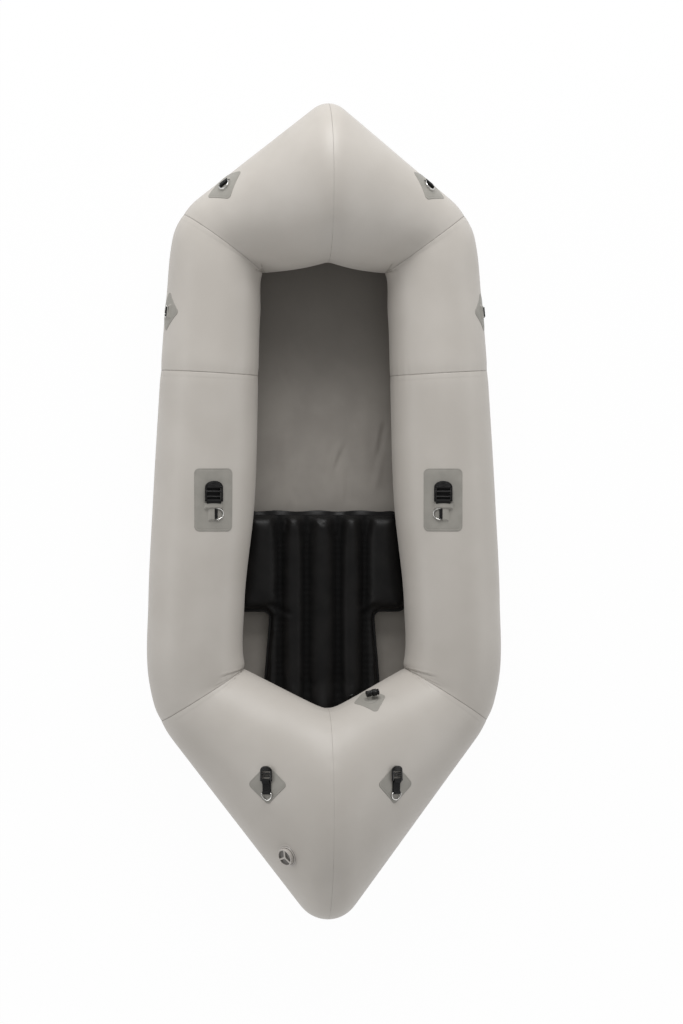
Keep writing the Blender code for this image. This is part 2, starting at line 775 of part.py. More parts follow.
EDGE_LINE = (ALONG[0].outer - Vector((0, tip_line(ALONG[0].outer, HALF_LENGTH, BOW_TIP_RADIUS))))
for hand, word in SIDES.items():
    inboard = Vector((EDGE_LINE.y * hand, -EDGE_LINE.x, 0))
    bow = frame_over(hand, inward_of(HALF_LENGTH, BOW_RING_FROM_TIP), 0, BOW_CORNER, inboard)
    patch(f"bow_patch_{word}", hand, 0, BOW_CORNER, bow, diamond(DIAMOND_LENGTH, DIAMOND_WIDTH))
    ring_set(word, "bow", bow)

    elevation = math.radians(SIDE_RING_ELEVATION)
    side_stop = stop_at(hand, elevation, SIDE_RING_PLACE, BOW_CORNER, SIDE_SEAM)
    beside = frame_on_hull(hand, side_stop, elevation, Vector((0, 0, -1)))
    patch(f"side_patch_{word}", hand, BOW_CORNER, SIDE_SEAM, beside,
          diamond(DIAMOND_LENGTH, DIAMOND_WIDTH))
    ring_set(word, "side", beside)

    to_cockpit = Vector((-hand, 0, 0))
    forward = Vector((0, 1, 0))
    mid = frame_over(hand, MID_PATCH_PLACE, SIDE_SEAM, STERN_CORNER, to_cockpit)
    patch(f"mid_patch_{word}", hand, SIDE_SEAM, STERN_CORNER, mid,
          rectangle(MID_PATCH_LENGTH, MID_PATCH_WIDTH, MID_PATCH_CORNER))
    ring_set(word, "mid", frame_over(hand, MID_RING_PLACE, SIDE_SEAM, STERN_CORNER, to_cockpit))
    lock = frame_over(hand, MID_BUCKLE_PLACE, SIDE_SEAM, STERN_CORNER, forward)
    lock = lifted(lock, (-WIDE_WEBBING / 2, WIDE_WEBBING / 2), (-STRAP_TAIL, BUCKLE_BAR),
                  HULL_TREE)
    strap(f"mid_buckle_webbing_{word}", lock, WIDE_WEBBING, -STRAP_TAIL, 0, 0, BUCKLE_LOOP_BORE)
    buckle(f"mid_buckle_{word}", lock, WIDE_WEBBING)

    aft = frame_over(hand, inward_of(-HALF_LENGTH, STERN_PATCH_FROM_TIP), STERN_CORNER, LAST,
                     forward)
    patch(f"stern_patch_{word}", hand, STERN_CORNER, LAST, aft,
          diamond(DIAMOND_LENGTH, DIAMOND_WIDTH))
    base = lifted(aft, (-NARROW_WEBBING / 2, NARROW_WEBBING / 2),
                  (STERN_RING_OFFSET, STERN_BUCKLE_OFFSET), HULL_TREE)
    strap(f"stern_webbing_{word}", base, NARROW_WEBBING, STERN_RING_OFFSET, RING_LOOP_BORE,
          STERN_BUCKLE_OFFSET, BUCKLE_LOOP_BORE)
    turned_back = moved(base, along=STERN_RING_OFFSET) @ Matrix.Rotation(math.pi, 4, "Z")
    d_ring(f"stern_ring_{word}", turned_back)
    buckle(f"stern_buckle_{word}", moved(base, along=STERN_BUCKLE_OFFSET), NARROW_WEBBING)


# Main valve: a welded base, a threaded insert that holds the diaphragm, and a screw cap
def revolved(name, profile, frame, finish):
    return place_mesh(name, turned(profile, VALVE_SIDES), finish, frame)


def plug(name, radius, low, high, frame):
    """A round cutter between two heights of a frame."""
    profile = [(0, low), (radius, low), (radius, high), (0, high)]
    return revolved(name, profile, frame, SEAL_RUBBER)


def sectors(name, inner, outer, rib, low, high, frame):
    """Cutters for the openings between the spokes of a wheel, which are as wide as a rib."""
    shape = bmesh.new()
    sector = 360 / SPOKES
    for k in range(SPOKES):
        start = sector * k - SPOKE_TURN
        lean = math.degrees(math.asin(rib / 2 / outer))
        outline = arc((0, 0), outer, start + lean, start + sector - lean, SECTOR_STEPS)
        middle = math.radians(start + sector / 2)
        if inner > 0:
            near = math.degrees(math.asin(rib / 2 / inner))
            outline += arc((0, 0), inner, start + sector - near, start + near, HUB_STEPS)
        else:
            root = rib / 2 / math.sin(math.radians(sector / 2))
            outline.append((root * math.cos(middle), root * math.sin(middle)))
        one = flat_profile(outline, [], high - low)
        mesh = bpy.data.meshes.new(name)
        one.to_mesh(mesh)
        one.free()
        shape.from_mesh(mesh)
        bpy.data.meshes.remove(mesh)
    return place_mesh(name, shape, SEAL_RUBBER, moved(frame, out=low))


def main_valve():
    out_of_stern = frame_over(PORT, inward_of(-HALF_LENGTH, MAIN_VALVE_FROM_TIP), STERN_CORNER,
                              LAST, Vector((0, 1, 0)))
    half_flange = VALVE_FLANGE_WIDTH / 2
    frame = lifted(out_of_stern, (-half_flange, half_flange), (-half_flange, half_flange),
                   HULL_TREE)
    bore = VALVE_BORE / 2
    barrel = bore + VALVE_BARREL_WALL
    flange_top = FIT_GAP + VALVE_FLANGE_THICKNESS
    bottom = flange_top - VALVE_DEPTH
    cut(CHAMBERS["stern", PORT],
        plug("valve_hole", barrel + FIT_GAP, -CUT_OVERRUN, CUT_OVERRUN, frame))
    revolved("valve_base", [
        (bore, bottom), (barrel, bottom), (barrel, FIT_GAP), (half_flange, FIT_GAP),
        (half_flange, flange_top - CHAMFER), (half_flange - CHAMFER, flange_top),
        (bore, flange_top)], frame, VALVE_GREY)

    seal_outer = INSERT_FLANGE_WIDTH / 2 - CHAMFER
    seal_base = flange_top + FIT_GAP
    insert_under = seal_base + VALVE_SEAL_THICKNESS + FIT_GAP
    insert_top = insert_under + INSERT_FLANGE_THICKNESS
    revolved("valve_insert_seal", ring_profile(
        seal_outer - VALVE_SEAL_WIDTH, seal_outer, seal_base, VALVE_SEAL_THICKNESS),
        frame, SEAL_RUBBER)

    insert_outer = bore - FIT_GAP
    insert_bore = insert_outer - INSERT_WALL
    spider = bottom + SPIDER_THICKNESS
    stem = DIAPHRAGM_STEM / 2
    insert = revolved("valve_insert", [
        (stem + FIT_GAP, bottom), (insert_outer - CHAMFER, bottom),
        (insert_outer, bottom + CHAMFER), (insert_outer, insert_under),
        (INSERT_FLANGE_WIDTH / 2, insert_under),
        (INSERT_FLANGE_WIDTH / 2, insert_top - CHAMFER),
        (INSERT_FLANGE_WIDTH / 2 - CHAMFER, insert_top), (insert_bore, insert_top),
        (insert_bore, spider), (stem + FIT_GAP, spider)], frame, VALVE_GREY)
    port_edge = insert_bore - SPIDER_SPOKE / 2
    cut(insert, sectors("spider_openings", SPIDER_HUB / 2, port_edge, SPIDER_SPOKE,
                        bottom - CHAMFER, spider + CHAMFER, frame))

    flap_top = bottom - FIT_GAP
    flap = (port_edge + insert_outer - CHAMFER) / 2
    bulb = spider + FIT_GAP
    revolved("valve_diaphragm", [
        (0, flap_top - DIAPHRAGM_THICKNESS), (flap, flap_top - DIAPHRAGM_THICKNESS),
        (flap, flap_top), (stem, flap_top), (stem, bulb), (stem + CHAMFER, bulb),
        (stem + CHAMFER, bulb + CHAMFER), (stem / 2, bulb + 3 * CHAMFER),
        (0, bulb + 3 * CHAMFER)], frame, SEAL_RUBBER)

    cap_seal_base = insert_top + FIT_GAP
    revolved("valve_cap_seal", ring_profile(
        seal_outer - VALVE_SEAL_WIDTH, seal_outer, cap_seal_base, VALVE_SEAL_THICKNESS),
        frame, SEAL_RUBBER)
    crown = cap_seal_base + VALVE_SEAL_THICKNESS + FIT_GAP
    cap_top = crown + CAP_CROWN
    cap_outer = CAP_WIDTH / 2
    skirt = flange_top + FIT_GAP
    cap = revolved("valve_cap", [
        (0, crown), (cap_outer - CAP_SKIRT, crown), (cap_outer - CAP_SKIRT, skirt),
        (cap_outer, skirt), (cap_outer, cap_top - 2 * CHAMFER),
        (cap_outer - 2 * CHAMFER, cap_top), (0, cap_top)], frame, VALVE_GREY)
    cut(cap, sectors("cap_recesses", 0, cap_outer - CAP_RIM, CAP_RIB,
                     cap_top - CAP_RECESS, cap_top + CHAMFER, frame))


def ring_profile(inner, outer, base, thickness):
    return [(inner, base), (outer, base), (outer, base + thickness), (inner, base + thickness)]


main_valve()


# Top-up valve: a boot on its patch, an elbow barrel and a mouthpiece that twists open
MOUTH_WAIST_SHARE = 0.62


def topup_valve():
    corner, tip = RINGS[STERN_CORNER].inner, RINGS[LAST].inner
    along_edge = Vector((corner.x - tip.x, corner.y - tip.y, 0))
    on_tube = frame_over(STARBOARD, behind_edge(TOPUP_EDGE_SHARE, TOPUP_BEHIND_EDGE),
                         STERN_CORNER, LAST, along_edge)
    topup_patch = patch("topup_patch", STARBOARD, STERN_CORNER, LAST, on_tube,
                        rectangle(TOPUP_PATCH_WIDTH, TOPUP_PATCH_LENGTH, DIAMOND_CORNER))
    boot = TOPUP_BOOT_WIDTH / 2
    frame = lifted(on_tube, (-boot, boot), (-boot, boot), HULL_TREE)
    air_way = TOPUP_BORE / 2
    air_hole = plug("topup_hole", air_way + FIT_GAP, -CUT_OVERRUN, CUT_OVERRUN, frame)
    cut(CHAMBERS["stern", STARBOARD], air_hole)
    cut(topup_patch, air_hole)

    stub = TOPUP_STUB_WIDTH / 2
    barrel = TOPUP_BARREL_WIDTH / 2
    boot_top = STRAP_BASE + TOPUP_BOOT_THICKNESS
    stub_top = TOPUP_HEIGHT - barrel - FIT_GAP
    revolved("topup_boot", [
        (air_way + FIT_GAP, STRAP_BASE), (boot, STRAP_BASE), (boot, boot_top - CHAMFER),
        (boot - CHAMFER, boot_top), (stub, boot_top), (stub, stub_top),
        (air_way + FIT_GAP, stub_top)], frame, PATCH_GREY)

    # The barrel, seal and mouthpiece share an axis along the frame's Y, over the boot. Half a
    # facet's turn keeps the barrel's edges clear of the spigot's.
    lying = (moved(frame, along=-barrel, out=TOPUP_HEIGHT) @ Matrix.Rotation(-math.pi / 2, 4, "X")
             @ Matrix.Rotation(math.pi / VALVE_SIDES, 4, "Z"))
    tube = air_way - TOPUP_WALL
    bore = air_way + FIT_GAP
    elbow = revolved("topup_barrel", [
        (0, 0), (barrel - CHAMFER, 0), (barrel, CHAMFER), (barrel, TOPUP_BARREL_LENGTH),
        (bore, TOPUP_BARREL_LENGTH), (bore, TOPUP_WALL), (0, TOPUP_WALL)], lying, BUCKLE_BLACK)
    spigot_top = TOPUP_HEIGHT - barrel + TOPUP_WALL
    cut(elbow, plug("topup_spigot", air_way, STRAP_BASE, spigot_top, frame), "UNION")
    cut(elbow, plug("topup_spigot_bore", tube, STRAP_BASE - CHAMFER, TOPUP_HEIGHT, frame))

    mouth = moved(lying, out=TOPUP_BARREL_LENGTH + FIT_GAP)
    revolved("topup_seal", ring_profile(
        air_way + 2 * FIT_GAP, barrel - CHAMFER, 0, VALVE_SEAL_THICKNESS), mouth, SEAL_RUBBER)
    mouth = moved(mouth, out=VALVE_SEAL_THICKNESS + FIT_GAP)
    wide = TOPUP_MOUTH_WIDTH / 2
    spigot = -TOPUP_BARREL_LENGTH / 2
    long = TOPUP_MOUTH_LENGTH
    revolved("topup_mouthpiece", [
        (tube, spigot), (air_way, spigot), (air_way, 0), (wide - CHAMFER, 0), (wide, CHAMFER),
        (wide, long * MOUTH_WAIST_SHARE), (barrel, long * MOUTH_WAIST_SHARE + CHAMFER),
        (barrel, long - 2 * CHAMFER), (barrel - 2 * CHAMFER, long), (air_way, long),
        (air_way, long - 2 * CHAMFER), (tube, long - 4 * CHAMFER)], mouth, BUCKLE_BLACK)


topup_valve()


# Seat: a T-shaped cushion with lengthwise channels, whose tail lies under the stern
VALLEY_SHARE = 0.67
SEAM_HEIGHT_SHARE = 0.45
LOBE_SHARES = (0.0, 0.17, 0.5, 0.83)
INSET_SHARES = (0.0, 0.4, 1.0)
TRUE_INSET_SHARE = 0.95
CENTRE_VALLEY = CENTRE_CHANNEL_WIDTH / 2
OUTER_VALLEY = CENTRE_VALLEY + NEXT_CHANNEL_WIDTH


def inner_edge(forward):
    """The half-breadth between the tubes at a distance forward of the middle."""
    edge = [ring.inner for ring in RINGS]
    for near, far in zip(edge, edge[1:]):
        if far.y <= forward <= near.y:
            return near.x + (far.x - near.x) * (forward - near.y) / (far.y - near.y)
    return 0.0


def seat_outline():
    """The edge of the cushion, counter-clockwise from above, as a dense row of points."""
    ear = SEAT_FRONT - SEAT_EAR_LENGTH
    corner, tip = RINGS[STERN_CORNER].inner, RINGS[LAST].inner
    slope = (corner.y - tip.y) / corner.x
    tail = tip.y - SEAT_TAIL_TUCK
    half = [(inner_edge(SEAT_FRONT) + SEAT_SIDE_TUCK, SEAT_FRONT),
            (inner_edge(ear) + SEAT_SIDE_TUCK, ear),
            (SEAT_NECK_WIDTH / 2, ear),
            (SEAT_TAIL_WIDTH / 2, tail + slope * SEAT_TAIL_WIDTH / 2)]
    corners = [(-x, y) for x, y in half] + [(0, tail)] + half[::-1]
    wide, neck = SEAT_CORNER_RADIUS, SEAT_NECK_RADIUS
    radii = [wide, wide, neck, wide, wide, wide, neck, wide, wide]
    outline = rounded(corners, radii, SEAT_CORNER_STEPS)
    dense = []
    for a, b in zip(outline, outline[1:] + outline[:1]):
        steps = max(1, round((Vector(b) - Vector(a)).length / SEAT_MESH))
        dense += [Vector(a).lerp(Vector(b), k / steps) for k in range(steps)]
    return dense


def edge_distance(spot, outline):
    nearest = min((spot - a - (b - a) * max(0.0, min(1.0, (spot - a).dot(b - a)
                  / (b - a).length_squared))).length
                  for a, b in zip(outline, outline[1:] + outline[:1]))
    return nearest


def channel_share(across):
    """How full the cushion is across its channels, whose valleys run lengthwise."""
    across = abs(across)
    if across > OUTER_VALLEY:
        rise = 1 - min((across - OUTER_VALLEY) / SEAT_OUTER_SHOULDER, 1.0)
    elif across > CENTRE_VALLEY:
        rise = 2 * (across - CENTRE_VALLEY) / NEXT_CHANNEL_WIDTH - 1
    else:
        rise = across / CENTRE_VALLEY
    return VALLEY_SHARE + (1 - VALLEY_SHARE) * math.sqrt(1 - rise * rise)


def inset_point(outline, index, inset):
    """A point inside a counter-clockwise outline, straight in from one of its points."""
    tangent = (outline[(index + 1) % len(outline)] - outline[index - 1]).normalized()
    return outline[index] + Vector((-tangent.y, tangent.x)) * inset


def seat_points(outline):
    """The plan points of the cushion: its edge, rings inside the edge, and rows across it."""
    spots = list(outline)
    for share in INSET_SHARES:
        inset = SEAT_MARGIN + SEAT_SHOULDER * share
        for i in range(len(outline)):
            spot = inset_point(outline, i, inset)
            crowded = min((spot - other).length for other in spots) < min(inset, SEAT_MESH) / 2
            if edge_distance(spot, outline) > inset * TRUE_INSET_SHARE and not crowded:
                spots.append(spot)
    lobes = ((-CENTRE_VALLEY, CENTRE_CHANNEL_WIDTH), (CENTRE_VALLEY, NEXT_CHANNEL_WIDTH),
             (OUTER_VALLEY, 2 * SEAT_OUTER_SHOULDER), (OUTER_VALLEY + 2 * SEAT_OUTER_SHOULDER,
                                                       2 * SEAT_OUTER_SHOULDER))
    columns = sorted({round(hand * (low + width * share), COLUMN_DIGITS)
                      for low, width in lobes for share in LOBE_SHARES for hand in SIDES})
    rows = int(outline_span(outline) / SEAT_ROWS)
    for row in range(rows + 1):
        for across in columns:
            spot = Vector((across, SEAT_FRONT - SEAT_ROWS * (row + 0.5)))
            inside = edge_distance(spot, outline) > SEAT_MARGIN + SEAT_SHOULDER + SEAT_MARGIN
            if inside and within(spot, outline):
                spots.append(spot)
    return spots


def outline_span(outline):
    return max(point.y for point in outline) - min(point.y for point in outline)


def within(spot, outline):
    """Whether a plan point lies inside an outline, by counting the edges to one side of it."""
    crossings = 0
    for a, b in zip(outline, outline[1:] + outline[:1]):
        if (a.y > spot.y) != (b.y > spot.y):
            crossings += spot.x < a.x + (b.x - a.x) * (spot.y - a.y) / (b.y - a.y)
    return crossings % 2 == 1


def seat_surface(spot, outline):
    """The heights of the cushion's upper and lower faces over a plan point."""
    depth = max(0.0, edge_distance(spot, outline) - SEAT_MARGIN)
    rise = math.sqrt(1 - (1 - min(depth / SEAT_SHOULDER, 1.0)) ** 2)
    base = floor_top(spot.y) + FIT_GAP
    seam = base + SEAT_THICKNESS * SEAM_HEIGHT_SHARE
    top = base + SEAT_THICKNESS * channel_share(spot.x)
    half = SEAT_MARGIN_THICKNESS / 2
    return (seam + max(half, (top - seam) * rise),
            seam - max(half, (seam - base) * rise))


def seat():
    outline = seat_outline()
    spots = seat_points(outline)
    edge = list(range(len(outline)))
    plan = delaunay_2d_cdt(spots, [], [edge], FACES_INSIDE, WELD)
    shape = bmesh.new()
    upper, lower = [], []
    for spot in plan[0]:
        top, bottom = seat_surface(spot, outline)
        upper.append(shape.verts.new((spot.x, spot.y, top)))
        lower.append(shape.verts.new((spot.x, spot.y, bottom)))
    for a, b, c in plan[2]:
        shape.faces.new((upper[a], upper[b], upper[c]))
        shape.faces.new((lower[c], lower[b], lower[a]))
    for side_edge in [e for e in shape.edges if e.is_boundary]:
        if side_edge.verts[0] in upper and side_edge.verts[1] in upper:
            a, b = (upper.index(vert) for vert in side_edge.verts)
            shape.faces.new((upper[a], upper[b], lower[b], lower[a]))
    bmesh.ops.triangulate(shape, faces=[f for f in shape.faces if len(f.verts) > 3])
    tree = BVHTree.FromBMesh(shape)
    place_mesh("seat", shape, SEAT_BLACK)
    return tree


def seat_valve(tree):
    """A flat twist valve welded on the tail of the cushion, behind the stern's inner edge."""
    across = SEAT_TAIL_WIDTH / 2 * SEAT_VALVE_TAIL_SHARE
    here = Vector(behind_edge(across / RINGS[STERN_CORNER].inner.x, SEAT_VALVE_BEHIND_EDGE))
    step = SEAT_MARGIN
    outline = seat_outline()
    heights = [seat_surface(here + Vector(move), outline)[0]
               for move in ((step, 0), (-step, 0), (0, step), (0, -step))]
    out = Vector((heights[1] - heights[0], heights[3] - heights[2], 2 * step)).normalized()
    y_axis = out.cross(Vector((1, 0, 0))).normalized()
    frame = Matrix((y_axis.cross(out), y_axis, out)).transposed().to_4x4()
    frame.translation = (*here, seat_surface(here, outline)[0])
    half = SEAT_VALVE_WIDTH / 2
    frame = lifted(frame, (-half, half), (-half, half), tree)
    top = FIT_GAP + SEAT_VALVE_THICKNESS
    stem, socket = SEAT_KNOB_WIDTH / 4, SEAT_KNOB_WIDTH / 4 + FIT_GAP
    revolved("seat_valve_base", [
        (socket, FIT_GAP), (half, FIT_GAP), (half, top - CHAMFER), (half - CHAMFER, top),
        (socket, top)], frame, VALVE_GREY)
    knob, knob_top = SEAT_KNOB_WIDTH / 2, top + FIT_GAP + SEAT_KNOB_HEIGHT
    cap = revolved("seat_valve_cap", [
        (0, 2 * FIT_GAP), (stem, 2 * FIT_GAP), (stem, top + FIT_GAP), (knob, top + FIT_GAP),
        (knob, knob_top - CHAMFER), (knob - CHAMFER, knob_top), (0, knob_top)],
        frame, BUCKLE_BLACK)
    grip = flat_profile([(-knob, stem / 2), (knob, stem / 2), (knob, knob), (-knob, knob)], [],
                        SEAT_KNOB_HEIGHT)
    for turn in (0, math.pi):
        beside = moved(frame, out=knob_top - SEAT_KNOB_HEIGHT / 2)
        cut(cap, place_mesh("seat_valve_grip", grip.copy(), SEAL_RUBBER,
                            beside @ Matrix.Rotation(turn, 4, "Z")))
    grip.free()


def seat_tab(word, hand):
    """A webbing gusset from the cushion's front corner to the inner wall of the tube."""
    edge = seat_outline()
    corner = inner_edge(SEAT_FRONT) + SEAT_SIDE_TUCK - SEAT_CORNER_RADIUS
    seam = floor_top(SEAT_FRONT) + FIT_GAP + SEAT_THICKNESS * SEAM_HEIGHT_SHARE
    base = seam + SEAT_MARGIN_THICKNESS / 2 + FIT_GAP
    outline = [tuple(inset_point(edge, i, SEAT_MARGIN - 3 * FIT_GAP))
               for i, spot in enumerate(edge)
               if spot.x > corner and spot.y > SEAT_FRONT - TAB_BEHIND][::-1]
    for forward in (SEAT_FRONT - TAB_BEHIND, SEAT_FRONT, SEAT_FRONT + TAB_AHEAD):
        start = Vector((0, forward, base + WEBBING_THICKNESS))
        met = HULL_TREE.ray_cast(start, Vector((1, 0, 0)))
        outline.append((met[0].x - 2 * FIT_GAP, forward))
    shape = flat_profile([(hand * x, y) for x, y in outline], [], WEBBING_THICKNESS)
    return place_mesh(f"seat_tab_{word}", shape, WEBBING_BLACK, Matrix.Translation((0, 0, base)))


seat_tree = seat()
seat_valve(seat_tree)
for hand, word in SIDES.items():
    seat_tab(word, hand)
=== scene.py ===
"""A one-person packraft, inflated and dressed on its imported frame.

+Y points to the bow, +X to starboard and +Z up. All sizes are in metres.
"""
import json
import math
from collections import namedtuple

import bpy
import numpy as np
from mathutils import Matrix, Vector, geometry
from mathutils.bvhtree import BVHTree
from mathutils.kdtree import KDTree


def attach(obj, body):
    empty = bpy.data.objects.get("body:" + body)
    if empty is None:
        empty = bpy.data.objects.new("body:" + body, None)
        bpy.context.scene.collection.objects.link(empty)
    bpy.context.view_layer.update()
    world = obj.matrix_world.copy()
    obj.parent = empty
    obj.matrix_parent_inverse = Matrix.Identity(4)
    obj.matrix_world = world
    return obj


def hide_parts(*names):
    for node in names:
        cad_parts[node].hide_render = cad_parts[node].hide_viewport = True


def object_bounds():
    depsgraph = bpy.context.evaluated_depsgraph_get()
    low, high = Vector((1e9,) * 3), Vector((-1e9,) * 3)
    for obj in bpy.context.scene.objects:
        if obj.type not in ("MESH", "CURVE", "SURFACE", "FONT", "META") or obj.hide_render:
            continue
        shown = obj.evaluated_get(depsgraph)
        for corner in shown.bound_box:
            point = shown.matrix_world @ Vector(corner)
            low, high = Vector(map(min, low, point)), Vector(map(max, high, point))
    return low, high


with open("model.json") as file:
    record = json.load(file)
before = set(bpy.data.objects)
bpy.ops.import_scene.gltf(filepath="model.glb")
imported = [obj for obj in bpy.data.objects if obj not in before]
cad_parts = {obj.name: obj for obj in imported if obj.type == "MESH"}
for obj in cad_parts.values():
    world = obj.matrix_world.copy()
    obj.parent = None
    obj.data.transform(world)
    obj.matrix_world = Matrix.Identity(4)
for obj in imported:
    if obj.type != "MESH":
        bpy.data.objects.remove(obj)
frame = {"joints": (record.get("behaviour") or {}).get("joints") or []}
cad_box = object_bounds()

# Hull. Eight inflated chambers of grey coated nylon, four a side, which widen and rise to the bow
# and the stern. Each is a tube cut to a mitre at its ends, where it is welded over the next, and
# it is closed lengthwise by one more weld along the cockpit.
PORT, STARBOARD = -1, 1
SIDES = {PORT: "left", STARBOARD: "right"}
HALF_BEAM = (cad_box[1].x - cad_box[0].x) / 2
HALF_LENGTH = (cad_box[1].y - cad_box[0].y) / 2
TUBE_DIAMETER = 0.266
CREST_ROUNDING_SHARE = 0.22
LIFT_POWER = 1.6
TIP_ROUNDS = 4

Ring = namedtuple("Ring", "outer inner height lift")
End = namedtuple("End", "tip depth height lift radius hollow_share turn_share")
BOW = End(HALF_LENGTH, 0.421, 0.366, 0.070, 0.063, 0.5, 0.06)
STERN = End(-HALF_LENGTH, 0.559, 0.396, 0.042, 0.089, 30.0, 0.10)

# Outer edge as shares of the half beam and half length, the tube's width and height as shares of
# its diameter, and the slant of the ring in degrees: the fore side chamber, then the mid one.
FORE_SHARES = (
    (0.819, 0.736, 1.020, 0.890, 36.0),
    (0.849, 0.694, 0.985, 0.905, 28.0),
    (0.898, 0.521, 0.955, 0.940, 10.0),
    (0.931, 0.346, 0.980, 0.985, 2.9),
)
MID_SHARES = (
    FORE_SHARES[-1],
    (0.974, 0.029, 1.015, 1.000, 2.3),
    (1.000, -0.218, 0.962, 0.985, 0.0),
    (0.996, -0.416, 0.974, 0.945, -14.0),
    (0.945, -0.515, 1.002, 0.917, -31.4),
)


def side_ring(row):
    """A ring of a side tube, from a row of shares."""
    out_share, forward_share, width_share, height_share, slant = row
    outer = np.array((HALF_BEAM * out_share, HALF_LENGTH * forward_share))
    turn = math.radians(slant)
    across = np.array((-math.cos(turn), -math.sin(turn))) * TUBE_DIAMETER * width_share
    return Ring(outer, outer + across, TUBE_DIAMETER * height_share, 0.0)


def eased(rows, share):
    """A row between rows of numbers, on a smooth curve through them, spaced by their distance."""
    table = np.array(rows)
    steps = np.abs(np.diff(table[:, 1]))
    places = np.concatenate(((0,), np.cumsum(steps))) / steps.sum()
    slopes = np.gradient(table, places, axis=0)
    k = min(int(np.searchsorted(places, share, side="right")) - 1, len(rows) - 2)
    span = places[k + 1] - places[k]
    t = (share - places[k]) / span
    return ((1 + 2 * t) * (1 - t) ** 2 * table[k] + t * (1 - t) ** 2 * span * slopes[k]
            + t * t * (3 - 2 * t) * table[k + 1] + t * t * (t - 1) * span * slopes[k + 1])


def end_ring(end, corner, share):
    """A ring of the bow or the stern, from its centre seam to its corner."""
    sign = math.copysign(1, end.tip)
    beyond = abs(end.tip)
    for _ in range(TIP_ROUNDS):
        slope = math.atan2(corner.outer[0], beyond - abs(corner.outer[1]))
        beyond = abs(end.tip) + end.radius * (1 / math.sin(slope) - 1)
    x = corner.outer[0] * share
    y = beyond + (abs(corner.outer[1]) - beyond) * share
    if x < end.radius * math.cos(slope):
        y = abs(end.tip) - end.radius + math.sqrt(end.radius ** 2 - x ** 2)
    turn = end.turn_share
    rounded = (math.hypot(share, turn) - turn) / (math.hypot(1, turn) - turn)
    inward = (1 - math.exp(-rounded / end.hollow_share)) / (1 - math.exp(-1 / end.hollow_share))
    inner_tip = end.tip - sign * end.depth
    inner = np.array((corner.inner[0] * share, inner_tip + (corner.inner[1] - inner_tip) * inward))
    bend = CREST_ROUNDING_SHARE
    fall = (math.hypot(share, bend) - bend) / (math.hypot(1, bend) - bend)
    return Ring(np.array((x, sign * y)), inner, end.height + (corner.height - end.height) * fall,
                end.lift * (1 - fall) ** LIFT_POWER)


def hull_ring(place):
    """The ring at a place along one side: 0 at the bow's seam, then 1, 2, 3 and 4 at the others."""
    if place < 1:
        return end_ring(BOW, side_ring(FORE_SHARES[0]), place)
    if place > 3:
        return end_ring(STERN, side_ring(MID_SHARES[-1]), 4 - place)
    if place < 2:
        return side_ring(eased(FORE_SHARES, place - 1))
    return side_ring(eased(MID_SHARES, place - 2))


def ring_points(side, place, angles, offset=0.0):
    """Points round a ring, 0 at the outer edge and a quarter turn on top, with where they face."""
    ring = hull_ring(place)
    across = ring.outer - ring.inner
    breadth = np.linalg.norm(across) / 2
    across = across / np.linalg.norm(across)
    middle = (ring.outer + ring.inner) / 2
    cos, sin = np.cos(angles), np.sin(angles)
    facing = np.stack((cos / breadth, sin / (ring.height / 2)), axis=1)
    facing /= np.linalg.norm(facing, axis=1)[:, None]
    out = breadth * cos + offset * facing[:, 0]
    up = ring.height / 2 * (1 + sin) + offset * facing[:, 1] + ring.lift
    points = (side * (middle[0] + across[0] * out), middle[1] + across[1] * out, up)
    facing = (side * across[0] * facing[:, 0], across[1] * facing[:, 0], facing[:, 1])
    return np.stack(points, axis=1), np.stack(facing, axis=1)


CHAMBERS = ("bow", "fore_side", "mid_side", "stern")
CREST = np.array((math.pi / 2,))
LENGTH_STEPS = 12
LENGTHS = []
for index in range(len(CHAMBERS)):
    stations = [ring_points(STARBOARD, index + k / LENGTH_STEPS, CREST)[0][0]
                for k in range(LENGTH_STEPS + 1)]
    LENGTHS.append(sum(np.linalg.norm(b - a) for a, b in zip(stations, stations[1:])))

# How far the fabric bridges each mitre: a long bend on the outside, a tight fold on the inside
OUTER_BEND = 0.050
INNER_BEND = 0.007


def hull_points(side, place, angles, offset=0.0):
    """Points round the hull at a place, with the mitres drawn round as taut fabric rounds them."""
    points, facing = ring_points(side, place, angles, offset)
    corner = min(3, max(1, round(place)))
    before, after = LENGTHS[corner - 1], LENGTHS[corner]
    bend = INNER_BEND + (OUTER_BEND - INNER_BEND) * (0.5 + 0.5 * np.cos(angles))
    reach = abs(place - corner) * (before if place < corner else after)
    if reach >= OUTER_BEND:
        return points, facing
    start = np.array([ring_points(side, corner - b / before, angles[i:i + 1], offset)[0][0]
                      for i, b in enumerate(bend)])
    end = np.array([ring_points(side, corner + b / after, angles[i:i + 1], offset)[0][0]
                    for i, b in enumerate(bend)])
    middle = ring_points(side, corner, angles, offset)[0]
    share = 0.5 + 0.5 * math.copysign(1, place - corner) * reach / bend
    share = np.clip(share, 0, 1)[:, None]
    bridged = (1 - share) ** 2 * start + 2 * share * (1 - share) * middle + share ** 2 * end
    near = (reach < bend)[:, None]
    return np.where(near, bridged, points), facing


# The seams: how deep the weld line sinks, the step of the lap, how far the fabric draws in, and
# the puckers beside it, which are deepest on the inside of a mitre
WELD_DEPTH = 0.0007
WELD_WIDTH = 0.0016
LAP_STEP = 0.0002
LAP_WIDTH = 0.012
LAP_SLOPE = 0.0008
DRAW_IN = 0.0016
DRAW_WIDTH = 0.016
PUCKER = 0.0004
INNER_PUCKER = 0.0013
PUCKER_REACH = 0.020
PUCKERS_ROUND = 37
STRAIGHT_SHARE = 0.4

# The centre seams are finer: their share of the depth, the angles from which the weld line fades
# in, and how far the marks are shifted where it hides
CENTRE_SHARE = 0.12
CENTRE_SHOWS = (math.radians(118), math.radians(150))
CENTRE_HIDES = 0.0011

